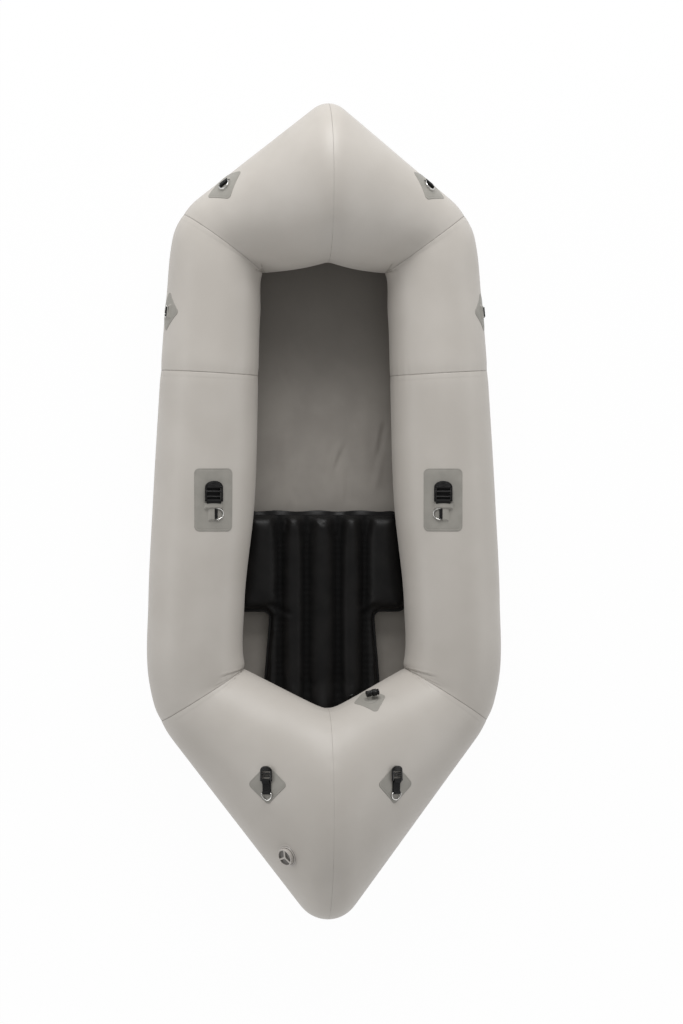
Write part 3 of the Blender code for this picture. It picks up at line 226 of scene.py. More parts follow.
# Folds at the inner corners: chamber, whether at its aft end, then distance from the seam and
# degrees round the tube at its two ends, its height and its width
Fold = namedtuple("Fold", "chamber aft near_distance near_angle far_distance far_angle height width")
FOLDS = (
    Fold("mid_side", True, 0.004, 168, 0.034, 122, -0.0030, 0.0045),
    Fold("mid_side", True, 0.012, 166, 0.044, 118, 0.0016, 0.0045),
    Fold("mid_side", True, 0.002, 160, 0.014, 112, 0.0012, 0.0040),
    Fold("stern", False, 0.003, 166, 0.016, 118, -0.0014, 0.0050),
    Fold("bow", True, 0.004, 170, 0.030, 142, -0.0028, 0.0090),
    Fold("fore_side", False, 0.005, 170, 0.024, 146, -0.0024, 0.0080),
)
TUBE_RADIUS = TUBE_DIAMETER / 2
FOLD_ENDS = 0.25


def smooth(share):
    """The share from 0 to 1 with soft ends."""
    return share * share * (3 - 2 * share)


def centre_seam(name, from_fore, from_aft):
    """Whether the nearest seam is the one down the middle of the bow or the stern."""
    return name == "bow" and from_fore < from_aft or name == "stern" and from_aft < from_fore


def relief(name, angles, from_fore, from_aft):
    """How far the fabric stands out or in, at two distances from the chamber's seams."""
    nearest = min(from_fore, from_aft)
    inside = (0.5 - 0.5 * np.cos(angles)) ** 3
    sunk = WELD_DEPTH * math.exp(-(nearest / WELD_WIDTH) ** 2)
    drawn_in = DRAW_IN * math.exp(-(nearest / DRAW_WIDTH) ** 2)
    high = np.full_like(angles, -sunk - drawn_in)
    if centre_seam(name, from_fore, from_aft):
        high *= CENTRE_SHARE
    elif from_fore < LAP_WIDTH:
        high += LAP_STEP * min(1.0, (LAP_WIDTH - from_fore) / LAP_SLOPE)
    waver = 1.3 * np.sin(angles * 5)
    puckers = np.sin(angles * PUCKERS_ROUND + waver) * np.sin(angles * 11 + 0.7)
    mitred = 1.0 if name == "fore_side" or nearest == from_aft else STRAIGHT_SHARE
    high += (PUCKER + INNER_PUCKER * inside * mitred) * math.exp(-nearest / PUCKER_REACH) * puckers
    for fold in FOLDS:
        if fold.chamber != name:
            continue
        distance = from_aft if fold.aft else from_fore
        degrees = np.degrees(angles)
        share = (fold.near_angle - degrees) / (fold.near_angle - fold.far_angle)
        line = fold.near_distance + (fold.far_distance - fold.near_distance) * share
        fade = np.minimum(share + FOLD_ENDS, 1 + FOLD_ENDS - share) / FOLD_ENDS
        fade = smooth(np.clip(fade, 0, 1))
        high += fold.height * fade * np.exp(-((distance - line) / fold.width) ** 2)
    return high


# A chamber's mesh: points round it, how far in its inner wall is and how many rows that steps over,
# the step along it, the closer rows beside a seam, and where the weld along the cockpit runs
ROUND = 132
WALL = 0.0025
INNER_ROW = 5
STEP = 0.010
NEAR_SEAM = (0.00015, 0.0007, 0.0014, 0.0024, 0.004, 0.006, 0.009, 0.0112, 0.0120, 0.016, 0.020,
             0.025, 0.030, 0.036, 0.042, 0.050, 0.060)
PANEL_WELD = math.radians(166)


def signed_volume(points, faces):
    """Six times the volume inside closed faces, below 0 where they face inwards."""
    volume = 0.0
    for face in faces:
        a = points[face[0]]
        for b, c in zip(face[1:], face[2:]):
            volume += a.dot(np.cross(points[b], points[c]))
    return volume


def new_mesh(name, points, faces, outward=True):
    """An object of points and faces, turned to face outwards where it is closed."""
    points = np.asarray(points, float)
    if outward and signed_volume(points, faces) < 0:
        faces = [face[::-1] for face in faces]
    mesh = bpy.data.meshes.new(name)
    mesh.from_pydata(points.tolist(), [], faces)
    mesh.update()
    mesh.shade_smooth()
    made = bpy.data.objects.new(name, mesh)
    bpy.context.scene.collection.objects.link(made)
    return made


def grid_faces(rows, count, closed_along=False, closed_across=True):
    """The quads over rows of points that each have the same count."""
    faces = []
    for k in range(rows if closed_along else rows - 1):
        near, far = k * count, (k + 1) % rows * count
        for i in range(count if closed_across else count - 1):
            j = (i + 1) % count
            faces.append((near + i, near + j, far + j, far + i))
    return faces


def mark_cloth(thing, values):
    """Gives each point its place on the cloth, which the material's weave and seams follow."""
    attribute = thing.data.attributes.new("cloth", "FLOAT_VECTOR", "POINT")
    attribute.data.foreach_set("vector", np.asarray(values, np.float32).ravel())


def chamber(name, side, index):
    """One chamber: its outer fabric with its seams, and a plain inner wall that closes it."""
    length = LENGTHS[index]
    distances = list(NEAR_SEAM)
    while distances[-1] + STEP < length - NEAR_SEAM[-1] - STEP / 2:
        distances.append(distances[-1] + STEP)
    distances += [length - d for d in reversed(NEAR_SEAM)]
    angles = 2 * math.pi * np.arange(ROUND) / ROUND
    rows, cloth = [], []
    for distance in distances:
        points, facing = hull_points(side, index + distance / length, angles)
        high = relief(name, angles, distance, length - distance)
        rows.append(points + facing * high[:, None])
        panel = (angles - PANEL_WELD) * TUBE_RADIUS
        seam = np.full(ROUND, min(distance, length - distance))
        if centre_seam(name, distance, length - distance):
            shows = np.interp(np.minimum(angles, 2 * math.pi - angles), CENTRE_SHOWS, (0, 1))
            seam += CENTRE_HIDES * (1 - shows)
        cloth.append(np.stack((np.full(ROUND, distance), panel, seam), axis=1))
    inner = []
    for distance in distances[::-INNER_ROW]:
        inner.append(hull_points(side, index + distance / length, angles, -WALL)[0])
    everything = np.concatenate(rows + inner)
    faces = grid_faces(len(rows) + len(inner), ROUND, closed_along=True)
    made = new_mesh(f"{name}_{SIDES[side]}_skin", everything, faces)
    cloth += [cloth[0]] * len(inner)
    mark_cloth(made, np.concatenate(cloth))
    return made


class Wire:
    """One output of a node. Sums and products of wires add the Math nodes that work them out."""

    def __init__(self, finish, socket):
        self.finish = finish
        self.socket = socket

    def maths(self, operation, *terms):
        """A Math node on these terms."""
        return self.finish.node("ShaderNodeMath", {"operation": operation}, dict(enumerate(terms)))

    def __add__(self, other):
        return self.maths("ADD", self, other)

    def __sub__(self, other):
        return self.maths("SUBTRACT", self, other)

    def __rsub__(self, other):
        return self.maths("SUBTRACT", other, self)

    def __mul__(self, other):
        return self.maths("MULTIPLY", self, other)

    def __abs__(self):
        return self.maths("ABSOLUTE", self)

    __radd__ = __add__
    __rmul__ = __mul__

    def wave(self, length):
        """A sine of this many metres from crest to crest."""
        return self.maths("SINE", self * (2 * math.pi / length))

    def step(self, low, high):
        """From 0 at low to 1 at high, smoothly."""
        return self.finish.node("ShaderNodeMapRange", {"interpolation_type": "SMOOTHSTEP"},
                                {"Value": self, "From Min": low, "From Max": high})


class Finish:
    """A material of one of the raft's stuffs, built node by node."""

    def __init__(self, name):
        self.material = bpy.data.materials.new(name)
        self.material.use_nodes = True
        self.tree = self.material.node_tree
        self.tree.nodes.clear()

    def node(self, kind, settings=None, sockets=None, output=0):
        """Adds a node: its settings first, then a value or a wire for each socket by its name."""
        made = self.tree.nodes.new(kind)
        for name, value in (settings or {}).items():
            setattr(made, name, value)
        for name, value in (sockets or {}).items():
            if isinstance(value, Wire):
                self.tree.links.new(value.socket, made.inputs[name])
            else:
                made.inputs[name].default_value = value
        return Wire(self, made.outputs[output]) if made.outputs else None

    def noise(self, size, detail):
        """Cloudy noise whose patches are about this many metres across, from 0 to 1."""
        place = self.node("ShaderNodeTexCoord", output=3)
        return self.node("ShaderNodeTexNoise", {}, {
            "Vector": place, "Scale": 1 / size, "Detail": detail, "Roughness": 0.5})

    def mark(self, axis):
        """One of the three numbers that mark_cloth gave the mesh."""
        found = self.node("ShaderNodeAttribute", {"attribute_name": "cloth"}, output=1)
        return self.node("ShaderNodeSeparateXYZ", {}, {0: found}, output="XYZ".index(axis))

    def blend(self, share, first, second):
        """From the first colour to the second."""
        first, second = ((*c, 1) if isinstance(c, tuple) else c for c in (first, second))
        return self.node("ShaderNodeMix", {"data_type": "RGBA", "blend_type": "MIX"},
                         {0: share, 6: first, 7: second}, output=2)

    def surface(self, sockets, height):
        """Ends the material with its skin. The height is its relief in metres."""
        sockets["Normal"] = self.node("ShaderNodeBump", {}, {"Distance": 1.0, "Height": height})
        skin = self.node("ShaderNodeBsdfPrincipled", {}, sockets)
        self.node("ShaderNodeOutputMaterial", {}, {"Surface": skin})
        return self.material


HULL_GREY = (0.425, 0.397, 0.362)
HULL_PALE = (0.455, 0.427, 0.392)
WELD_GREY = (0.300, 0.275, 0.245)
WEAVE = 0.00062
CLOUD_EDGES = (0.3, 0.7)

# From where to where the marks beside a seam fade, in metres from it: the weld line across the
# tube, the one along it, and the sheen that the heated roller leaves, painted as a lighter band
WELD_LINE = (0.0006, 0.0017)
LONG_WELD_LINE = (0.0003, 0.0012)
HEAT_SHEEN = (0.006, 0.0135)
LINE_SINKS = 0.0002


def woven(along, across, pitch, height):
    """The relief of a plain weave under its coating."""
    return along.wave(2 * pitch) * across.wave(2 * pitch) * height


def hull_cloth():
    """The hull's coated nylon, with its weld lines and a painted sheen beside them."""
    cloth = Finish("hull fabric")
    along, panel, seam = cloth.mark("X"), cloth.mark("Y"), cloth.mark("Z")
    weld = 1 - seam.step(*WELD_LINE)
    lengthwise = 1 - abs(panel).step(*LONG_WELD_LINE)
    heat_sheen = 1 - seam.step(*HEAT_SHEEN)
    cloud = cloth.noise(0.16, 3.0)
    grain = cloth.noise(0.004, 2.0)
    base = cloth.blend(cloud.step(*CLOUD_EDGES), HULL_GREY, HULL_PALE)
    # Painted sheen: the base colour is lighter in a band beside each seam
    base = cloth.blend(heat_sheen * 0.10, base, HULL_PALE)
    base = cloth.blend(weld * 0.7 + lengthwise * 0.3, base, WELD_GREY)
    height = (woven(along, panel, WEAVE, 0.000012) + grain * 0.00003
              + cloud * 0.0006 - weld * LINE_SINKS - lengthwise * LINE_SINKS)
    return cloth.surface({
        "Base Color": base, "Roughness": 0.46 + grain * 0.10, "Coat Weight": 0.10,
        "Coat Roughness": 0.32, "Specular IOR Level": 0.42, "Sheen Weight": 0.06,
        "Sheen Roughness": 0.4}, height)


def fitted(piece, finish, slot, body, *nodes):
    """Gives a piece its finish, says which body carries it and which nodes it stands for. The slot
    is not used."""
    piece.data.materials.append(finish)
    if nodes:
        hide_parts(*nodes)
    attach(piece, body)


def mesh_tree(*things):
    """The faces of some pieces, to find places on."""
    points, faces = [], []
    for thing in things:
        start = len(points)
        points += [vert.co.copy() for vert in thing.data.vertices]
        faces += [[start + i for i in polygon.vertices] for polygon in thing.data.polygons]
    return BVHTree.FromPolygons(points, faces)


HULL_FABRIC = hull_cloth()
SKINS = {}
for hand in SIDES:
    for order, part in enumerate(CHAMBERS):
        skin = chamber(part, hand, order)
        fitted(skin, HULL_FABRIC, "hull_fabric", "hull", f"{part}_{SIDES[hand]}")
        SKINS[part, hand] = skin
HULL_TREE = mesh_tree(*SKINS.values())

# The main valve's hole. The skin of the left-hand stern chamber is cut away under its flange.
JOINTS = {joint["name"]: joint for joint in frame["joints"]}
FLANGE_TOP = 0.0025
HOLE_RADIUS = 0.0199
HOLE_REACH = 0.02
HOLE_SIDES = 96


def axes_at(spot, x_axis, y_axis, z_axis):
    """The place and the three axes of a fitting as one matrix."""
    made = Matrix((x_axis, y_axis, z_axis)).transposed().to_4x4()
    made.translation = spot
    return made


def basis_of(spot, out, facing):
    """Where a fitting is: Z straight out of what carries it, Y the way it faces."""
    y_axis = (facing - out * facing.dot(out)).normalized()
    return axes_at(spot, y_axis.cross(out), y_axis, out)


def reaches(node, spot, axis):
    """How far a node's points lie along an axis from a spot."""
    return [(vert.co - spot).dot(axis) for vert in bpy.data.objects[node].data.vertices]


valve_axis = Vector(JOINTS["valve_insert_turn"]["axis"])
valve_spot = Vector(JOINTS["valve_insert_turn"]["pos_m"])
valve_spot += valve_axis * (max(reaches("valve_base", valve_spot, valve_axis)) - FLANGE_TOP)
VALVE = basis_of(valve_spot, valve_axis, Vector((0, 1, 0)))


def turns_of(count):
    """Even steps of a full turn."""
    return [2 * math.pi * i / count for i in range(count)]


def capped(rows, count):
    """The faces of a tube of rows, with a face over each end."""
    faces = grid_faces(rows, count)
    faces.append(tuple(range(count))[::-1])
    faces.append(tuple((rows - 1) * count + i for i in range(count)))
    return faces


def as_evaluated(thing):
    """Takes a piece's modifiers into its mesh."""
    bpy.context.view_layer.update()
    graph = bpy.context.evaluated_depsgraph_get()
    mesh = bpy.data.meshes.new_from_object(thing.evaluated_get(graph))
    thing.modifiers.clear()
    old = thing.data
    thing.data = mesh
    bpy.data.meshes.remove(old)
    mesh.shade_smooth()


# The cut loses the marks of the cloth, so each point takes those of the nearest one before it
holed = SKINS["stern", PORT]
uncut = KDTree(len(holed.data.vertices))
for vert in holed.data.vertices:
    uncut.insert(vert.co, vert.index)
uncut.balance()
marks = [tuple(v.vector) for v in holed.data.attributes["cloth"].data]
drill_points = [VALVE @ Vector((HOLE_RADIUS * math.cos(t), HOLE_RADIUS * math.sin(t), z))
                for z in (-HOLE_REACH, HOLE_REACH) for t in turns_of(HOLE_SIDES)]
drill = new_mesh("drill", [tuple(p) for p in drill_points], capped(2, HOLE_SIDES))
cut = holed.modifiers.new("Hole", "BOOLEAN")
cut.operation = "DIFFERENCE"
cut.solver = "EXACT"
cut.object = drill
as_evaluated(holed)
bpy.data.objects.remove(drill)
for vert, mark in zip(holed.data.vertices, holed.data.attributes["cloth"].data):
    mark.vector = marks[uncut.find(vert.co)[1]]

# Patches. Darker coated nylon, cut with round corners and welded on the hull under each fitting.
# The die leaves a fine line inside their edge.
FINE_WEAVE = 0.0005
PATCH_TOP = 0.0011
PATCH_EDGE = 0.0012
DIE_LINE_INSET = 0.0052
DIE_LINE_WIDTH = 0.0007
DIE_LINE_DEPTH = 0.00035
PATCH_INSETS = (0.0, 0.00035, 0.0008, 0.0012, 0.0020, 0.0036, 0.0044, 0.0048, 0.0052, 0.0056,
                0.0060, 0.0068)
PATCH_STEPS = 26
PATCH_STEP = 0.0022
CAST_HEIGHT = 0.06
PATCH_GREY = (0.270, 0.258, 0.232)
PATCH_DARK = (0.242, 0.232, 0.208)

# The patches' lengths, widths and corner radii
SIDE_DIAMOND = (0.110, 0.107, 0.011)
BOW_DIAMOND = (0.122, 0.118, 0.012)
STERN_DIAMOND = (0.122, 0.108, 0.011)
MID_PATCH = (0.167, 0.103, 0.014)
TOPUP_DIAMOND = (0.112, 0.092, 0.011)

# Where they lie in the plan, outboard of the middle and forward, from where on the bow's edge gives
# the bow patches their slant, and where along its valve the top-up patch has its middle
BOW_PATCH_PLACE = (0.272, 0.866)
MID_PATCH_PLACE = (0.304, 0.031)
STERN_PATCH_PLACE = (0.170, -0.719)
BOW_EDGE_FROM = 0.3
TOPUP_MIDDLE = 0.008


def rounded(corners, radius, steps=8):
    """A polygon with each corner rounded, by one radius or by a radius of its own."""
    radii = np.broadcast_to(radius, len(corners)).tolist()
    points = []
    for i, (corner, radius) in enumerate(zip(corners, radii)):
        here = Vector(corner)
        back = (Vector(corners[i - 1]) - here).normalized()
        onward = (Vector(corners[(i + 1) % len(corners)]) - here).normalized()
        half = back.angle(onward) / 2
        middle = here + (back + onward).normalized() * radius / math.sin(half)
        start = here + back * radius / math.tan(half) - middle
        end = here + onward * radius / math.tan(half) - middle
        turn = start.angle_signed(end)
        for k in range(steps + 1):
            point = start.copy()
            point.rotate(Matrix.Rotation(-turn * k / steps, 2))
            points.append(middle + point)
    return points


def spaced(outline, step):
    """The same closed outline with points at even steps."""
    ring = outline + outline[:1]
    lengths = [0.0]
    for a, b in zip(ring, ring[1:]):
        lengths.append(lengths[-1] + (b - a).length)
    count = max(12, round(lengths[-1] / step))
    runs = np.arange(count) * lengths[-1] / count
    xs = np.interp(runs, lengths, [p.x for p in ring])
    ys = np.interp(runs, lengths, [p.y for p in ring])
    return [Vector((x, y)) for x, y in zip(xs, ys)]


def inset_ring(outline, inset):
    """A ring inside a closed outline. It shrinks to the middle where it would cross itself."""
    count = len(outline)
    ring = []
    for i, point in enumerate(outline):
        along = (outline[(i + 1) % count] - outline[i - 1]).normalized()
        inward = Vector((-along.y, along.x))
        ring.append(point + inward * min(inset, point.length * 0.9))
    return ring


def dropped(tree, basis, x, y, lift=0.0):
    """The point of a surface under a place in a basis, raised along what the surface faces."""
    down = -basis.col[2].xyz
    spot, facing, _, _ = tree.ray_cast(basis @ Vector((x, y, CAST_HEIGHT)), down)
    return spot + facing * lift


def face_towards(thing, out):
    """Turns an open surface over if it faces the other way."""
    facing = sum((p.normal * p.area for p in thing.data.polygons), Vector())
    if facing.dot(out) < 0:
        thing.data.flip_normals()


def patch(name, basis, outline):
    """A patch that follows the hull, thin at its edge and with the die's line pressed in it."""
    ring = spaced(outline, PATCH_STEP)
    rows = []
    for inset in PATCH_INSETS:
        edge = min(inset / PATCH_EDGE, 1.0)
        high = PATCH_TOP * math.sqrt(1 - (1 - edge) ** 2)
        high -= DIE_LINE_DEPTH * math.exp(-((inset - DIE_LINE_INSET) / DIE_LINE_WIDTH) ** 2)
        rows.append([(p, high) for p in inset_ring(ring, inset)])
    last = [p for p, _ in rows[-1]]
    for k in range(1, PATCH_STEPS):
        rows.append([(p * (1 - k / PATCH_STEPS), PATCH_TOP) for p in last])
    points, cloth = [], []
    for row in rows:
        for p, high in row:
            points.append(dropped(HULL_TREE, basis, p.x, p.y, high))
            cloth.append((p.x, p.y, 0.0))
    faces = grid_faces(len(rows), len(ring))
    points.append(dropped(HULL_TREE, basis, 0, 0, PATCH_TOP))
    cloth.append((0, 0, 0))
    start = (len(rows) - 1) * len(ring)
    for i in range(len(ring)):
        faces.append((start + i, start + (i + 1) % len(ring), len(points) - 1))
    made = new_mesh(name, [tuple(p) for p in points], faces, outward=False)
    face_towards(made, basis.col[2].xyz)
    mark_cloth(made, cloth)
    return made


def patch_cloth():
    """The patches' coated nylon, of a finer weave and duller."""
    cloth = Finish("patch fabric")
    across, along = cloth.mark("X"), cloth.mark("Y")
    cloud = cloth.noise(0.03, 3.0)
    grain = cloth.noise(0.0016, 2.0)
    base = cloth.blend(cloud.step(*CLOUD_EDGES), PATCH_GREY, PATCH_DARK)
    height = woven(along, across, FINE_WEAVE, 0.00002) + grain * 0.00004
    return cloth.surface({"Base Color": base, "Roughness": 0.5 + grain * 0.12,
                          "Specular IOR Level": 0.4, "Sheen Weight": 0.08}, height)


PATCH_FABRIC = patch_cloth()


def over(place, hand, facing):
    """The basis on top of the hull over a plan place, on one side."""
    above = Vector((place[0] * hand, place[1], 1))
    spot, out, _, _ = HULL_TREE.ray_cast(above, Vector((0, 0, -1)))
    return basis_of(spot, out, facing)


def diamond(sizes):
    """A diamond's outline, from its length, its width and its corners' radius."""
    length, width, corner = sizes
    return rounded([(length / 2, 0), (0, width / 2), (-length / 2, 0), (0, -width / 2)], corner)


def rectangle(sizes):
    """A rectangle's outline, from the same sizes."""
    length, width, corner = sizes
    half, side = length / 2, width / 2
    return rounded([(half, -side), (half, side), (-half, side), (-half, -side)], corner)


PATCHES = []


def welded_patch(node, basis, outline):
    """A patch in the place of its node."""
    one = patch(f"{node}_cloth", basis, outline)
    fitted(one, PATCH_FABRIC, "patch_fabric", "hull", node)
    PATCHES.append(one)


bow_run = hull_ring(1).outer - hull_ring(BOW_EDGE_FROM).outer
for hand, word in SIDES.items():
    inboard = Vector((bow_run[1] * hand, -bow_run[0], 0))
    ring_spot = Vector(JOINTS[f"side_ring_swing_{word}"]["pos_m"])
    side_spot, side_out, _, _ = HULL_TREE.find_nearest(ring_spot)
    side_basis = basis_of(side_spot, side_out, Vector((0, 0, -1)))
    welded_patch(f"bow_patch_{word}", over(BOW_PATCH_PLACE, hand, inboard), diamond(BOW_DIAMOND))
    welded_patch(f"side_patch_{word}", side_basis, diamond(SIDE_DIAMOND))
    mid_basis = over(MID_PATCH_PLACE, hand, Vector((-hand, 0, 0)))
    welded_patch(f"mid_patch_{word}", mid_basis, rectangle(MID_PATCH))
    stern_basis = over(STERN_PATCH_PLACE, hand, Vector((0, 1, 0)))
    welded_patch(f"stern_patch_{word}", stern_basis, diamond(STERN_DIAMOND))

topup_axis = Vector(JOINTS["topup_turn"]["axis"])
topup_spot = Vector(JOINTS["topup_turn"]["pos_m"])
topup_spot += topup_axis * min(reaches("topup_barrel", topup_spot, topup_axis))
under_topup, topup_out, _, _ = HULL_TREE.find_nearest(topup_spot + topup_axis * TOPUP_MIDDLE)
topup_out = (topup_out - topup_axis * topup_out.dot(topup_axis)).normalized()
TOPUP_PLACE = basis_of(under_topup, topup_out, topup_axis)
welded_patch("topup_patch", TOPUP_PLACE, diamond(TOPUP_DIAMOND))
PATCH_TREE = mesh_tree(*PATCHES, *SKINS.values())

# D-rings. Bright 3 mm stainless wire, bent to a D and butt-welded in its straight bar, which
# swings in a loop of webbing.
RING_WIRE = 0.0030
RING_WIDTH = 0.0335
RING_REACH = 0.0188
RING_CORNER = 0.0030
RING_SIDES = 16
WELD_SWELL = 0.00018
WELD_BEAD = 0.0008
BOW_OF_D_START = 0.10
STEEL_GREY = (0.66, 0.65, 0.63)
STEEL_BRIGHT = (0.74, 0.73, 0.71)


class Shape:
    """Closed pieces gathered into one mesh, each turned to face outwards."""

    def __init__(self):
        self.points = []
        self.faces = []
        self.cloth = []

    def add(self, points, faces, cloth=None):
        """Adds a closed piece. Without marks of its own, its cloth follows its place."""
        points = np.asarray(points, float)
        outward = signed_volume(points, faces) > 0
        start = len(self.points)
        self.points += points.tolist()
        self.cloth += points.tolist() if cloth is None else list(cloth)
        for face in faces:
            moved = [start + i for i in face]
            self.faces.append(moved if outward else moved[::-1])

    def make(self, name, basis, sharp=None):
        """The gathered pieces as one object, with sharp edges above an angle in degrees."""
        world = [tuple(basis @ Vector(p)) for p in self.points]
        made = new_mesh(name, world, self.faces, outward=False)
        mark_cloth(made, self.cloth)
        if sharp:
            made.data.set_sharp_from_angle(angle=math.radians(sharp))
        return made


def wire_ring(path, radii):
    """A round wire along a closed path in the XY plane."""
    points = []
    for k, here in enumerate(path):
        along = (path[(k + 1) % len(path)] - path[k - 1]).normalized()
        side = Vector((-along.y, along.x))
        for turn in turns_of(RING_SIDES):
            out = side * math.cos(turn) * radii[k]
            points.append((here.x + out.x, here.y + out.y, math.sin(turn) * radii[k]))
    return points, grid_faces(len(path), RING_SIDES, closed_along=True)


def hinge_basis(joint_name, node):
    """The basis of a hinged piece: X along its hinge, Y towards its middle."""
    spot = Vector(JOINTS[joint_name]["pos_m"])
    axis = Vector(JOINTS[joint_name]["axis"]).normalized()
    verts = bpy.data.objects[node].data.vertices
    middle = sum((vert.co for vert in verts), Vector()) / len(verts) - spot
    along = (middle - axis * middle.dot(axis)).normalized()
    return axes_at(spot, axis, along, axis.cross(along))


def steel():
    """Polished steel with fine scratches and a smear of use."""
    metal = Finish("polished steel")
    scratch = metal.noise(0.0012, 3.0)
    smear = metal.noise(0.006, 2.0)
    base = metal.blend(smear, STEEL_GREY, STEEL_BRIGHT)
    return metal.surface({"Base Color": base, "Metallic": 1.0, "Roughness": 0.12 + scratch * 0.14},
                         scratch * 0.00001)


STEEL = steel()
ring_half = (RING_WIDTH - RING_WIRE) / 2
bow_of_d = [Vector((ring_half * math.cos(t), RING_REACH * math.sin(t)))
            for t in np.linspace(BOW_OF_D_START, math.pi - BOW_OF_D_START, 41)]
bar_start, bar_end = Vector((RING_CORNER - ring_half, 0)), Vector((ring_half - RING_CORNER, 0))
ring_path = bow_of_d + [bar_start.lerp(bar_end, k / 24) for k in range(25)]
ring_radii = [RING_WIRE / 2 + WELD_SWELL * math.exp(-(p.x / WELD_BEAD) ** 2) * (p.y == 0)
              for p in ring_path]
for hand, word in SIDES.items():
    for place in ("bow", "side", "mid", "stern"):
        node = f"{place}_ring_{word}"
        wire = Shape()
        wire.add(*wire_ring(ring_path, ring_radii))
        one = wire.make(f"{node}_wire", hinge_basis(f"{place}_ring_swing_{word}", node))
        fitted(one, STEEL, "steel", node, node)

# Webbing. Flat woven polyester tape, folded round the bar of a ring or a buckle and sewn down on
# its patch with heavy thread in a box with a cross in it.
TAPE = 0.0012
TAPE_BASE = 0.0016
NARROW_TAPE = 0.0240
RING_TAPE = 0.0262
WIDE_TAPE = 0.0380
TAIL = 0.016
RING_BORE = 0.0018
BUCKLE_BORE = 0.003128
STERN_RING_PLACE = -0.022
STERN_BUCKLE_PLACE = 0.012
THREAD = 0.00028
STITCH = 0.0024
STITCH_GAP = 0.0009
STITCH_INSET = 0.15
STITCH_PROFILE = ((0.0, 0.35), (0.2, 1.0), (0.8, 1.0), (1.0, 0.35))
LOOP_LEAN = 0.35
LOOP_REACH = 2.2
UPPER_LAYER = 1.55
RISE_STEPS = (0.25, 0.5, 0.75, 1.0)
TAPE_RIB = 0.0016
TAPE_WALE = 0.0015
TAPE_BLACK = (0.002, 0.002, 0.002)
TAPE_FUZZ = (0.012, 0.012, 0.012)
THREAD_BLACK = (0.0040, 0.0040, 0.0040)
THREAD_PAINTED_SHINE = (0.0072, 0.0072, 0.0072)


def tape_section(width):
    """The rounded section of a tape: across, then out, in a ring."""
    round_off = TAPE / 2
    flat = np.linspace(-width / 2 + round_off, width / 2 - round_off, 11)
    edge = [(round_off * math.sin(t), round_off * math.cos(t)) for t in (0.7, 1.57, 2.44)]
    section = [(x, -round_off) for x in flat]
    section += [(flat[-1] + x, -z) for x, z in edge]
    section += [(x, round_off) for x in flat[::-1]]
    section += [(flat[0] - x, z) for x, z in edge]
    return section


def tape(shape, width, path, basis, closed=False):
    """A tape along a path of (y, z) points. Where it lies on the patch it follows the patch."""
    section = tape_section(width)
    back = basis.inverted()
    points, cloth = [], []
    run = 0.0
    count = len(path)
    for k, (y, z) in enumerate(path):
        before = path[k - 1] if closed or k else path[k]
        after = path[(k + 1) % count] if closed or k + 1 < count else path[k]
        along = Vector((after[0] - before[0], after[1] - before[1])).normalized()
        out = Vector((-along.y, along.x))
        if k:
            run += math.dist(path[k], path[k - 1])
        for x, rise in section:
            point = Vector((x, y + out.x * rise, z + out.y * rise))
            if abs(out.y) > 0.9 and point.z < TAPE_BASE + TAPE * 0.25:
                surface = back @ dropped(PATCH_TREE, basis, point.x, point.y)
                point.z = min(point.z, surface.z + 0.0001)
            points.append(tuple(point))
            cloth.append((x, run, rise))
    faces = (grid_faces(count, len(section), closed_along=True) if closed
             else capped(count, len(section)))
    shape.add(points, faces, cloth)


def loop_path(place, bore, facing):
    """The middle of a tape round a bar, from the layer on the patch up to the layer on top."""
    radius = bore + TAPE / 2
    turns = np.linspace(-math.pi / 2, math.pi / 2 + LOOP_LEAN, 15)
    height = TAPE_BASE + TAPE + bore
    return [(place + facing * radius * math.cos(t), height + radius * math.sin(t)) for t in turns]


def strap_path(low, high, high_bore, low_bore=0.0):
    """The middle of a strap: out along the patch, round the bar and back on top."""
    lower, upper = TAPE_BASE + TAPE / 2, TAPE_BASE + TAPE * UPPER_LAYER
    reach = LOOP_REACH * (high_bore + TAPE)
    path = [(y, lower) for y in np.linspace(low, high - 0.001, 8)]
    path += loop_path(high, high_bore, 1)
    end_y, end_z = path[-1]
    path += [(end_y - reach * t, end_z + (upper - end_z) * smooth(t)) for t in RISE_STEPS]
    if not low_bore:
        return path + [(y, upper) for y in np.linspace(path[-1][0], low, 6)[1:]]
    back_loop = loop_path(low, low_bore, -1)[::-1]
    start_y, start_z = back_loop[0]
    reach = LOOP_REACH * (low_bore + TAPE)
    path += [(y, upper) for y in np.linspace(path[-1][0], start_y + reach, 4)[1:]]
    path += [(start_y + reach * (1 - t), upper + (start_z - upper) * smooth(t))
             for t in RISE_STEPS[:-1]]
    return path + back_loop


def stitches(shape, basis, corners, surface):
    """Rows of stitches between corners, given across and along, that lie on a surface."""
    back = basis.inverted()
    for a, b in zip(corners, corners[1:]):
        a, b = Vector(a), Vector(b)
        count = max(1, int((b - a).length / (STITCH + STITCH_GAP)))
        step = (b - a) / count
        for k in range(count):
            near = a + step * (k + STITCH_INSET)
            far = a + step * (k + 1 - STITCH_INSET)
            rows = []
            side = Vector((-step.y, step.x)).normalized()
            for share, size in STITCH_PROFILE:
                spot = near.lerp(far, share)
                top = back @ dropped(surface, basis, spot.x, spot.y)
                for turn in turns_of(6):
                    out = side * math.cos(turn) * THREAD * size
                    rows.append((spot.x + out.x, spot.y + out.y,
                                 top.z + (math.sin(turn) * size - 0.1) * THREAD))
            shape.add(rows, capped(4, 6))


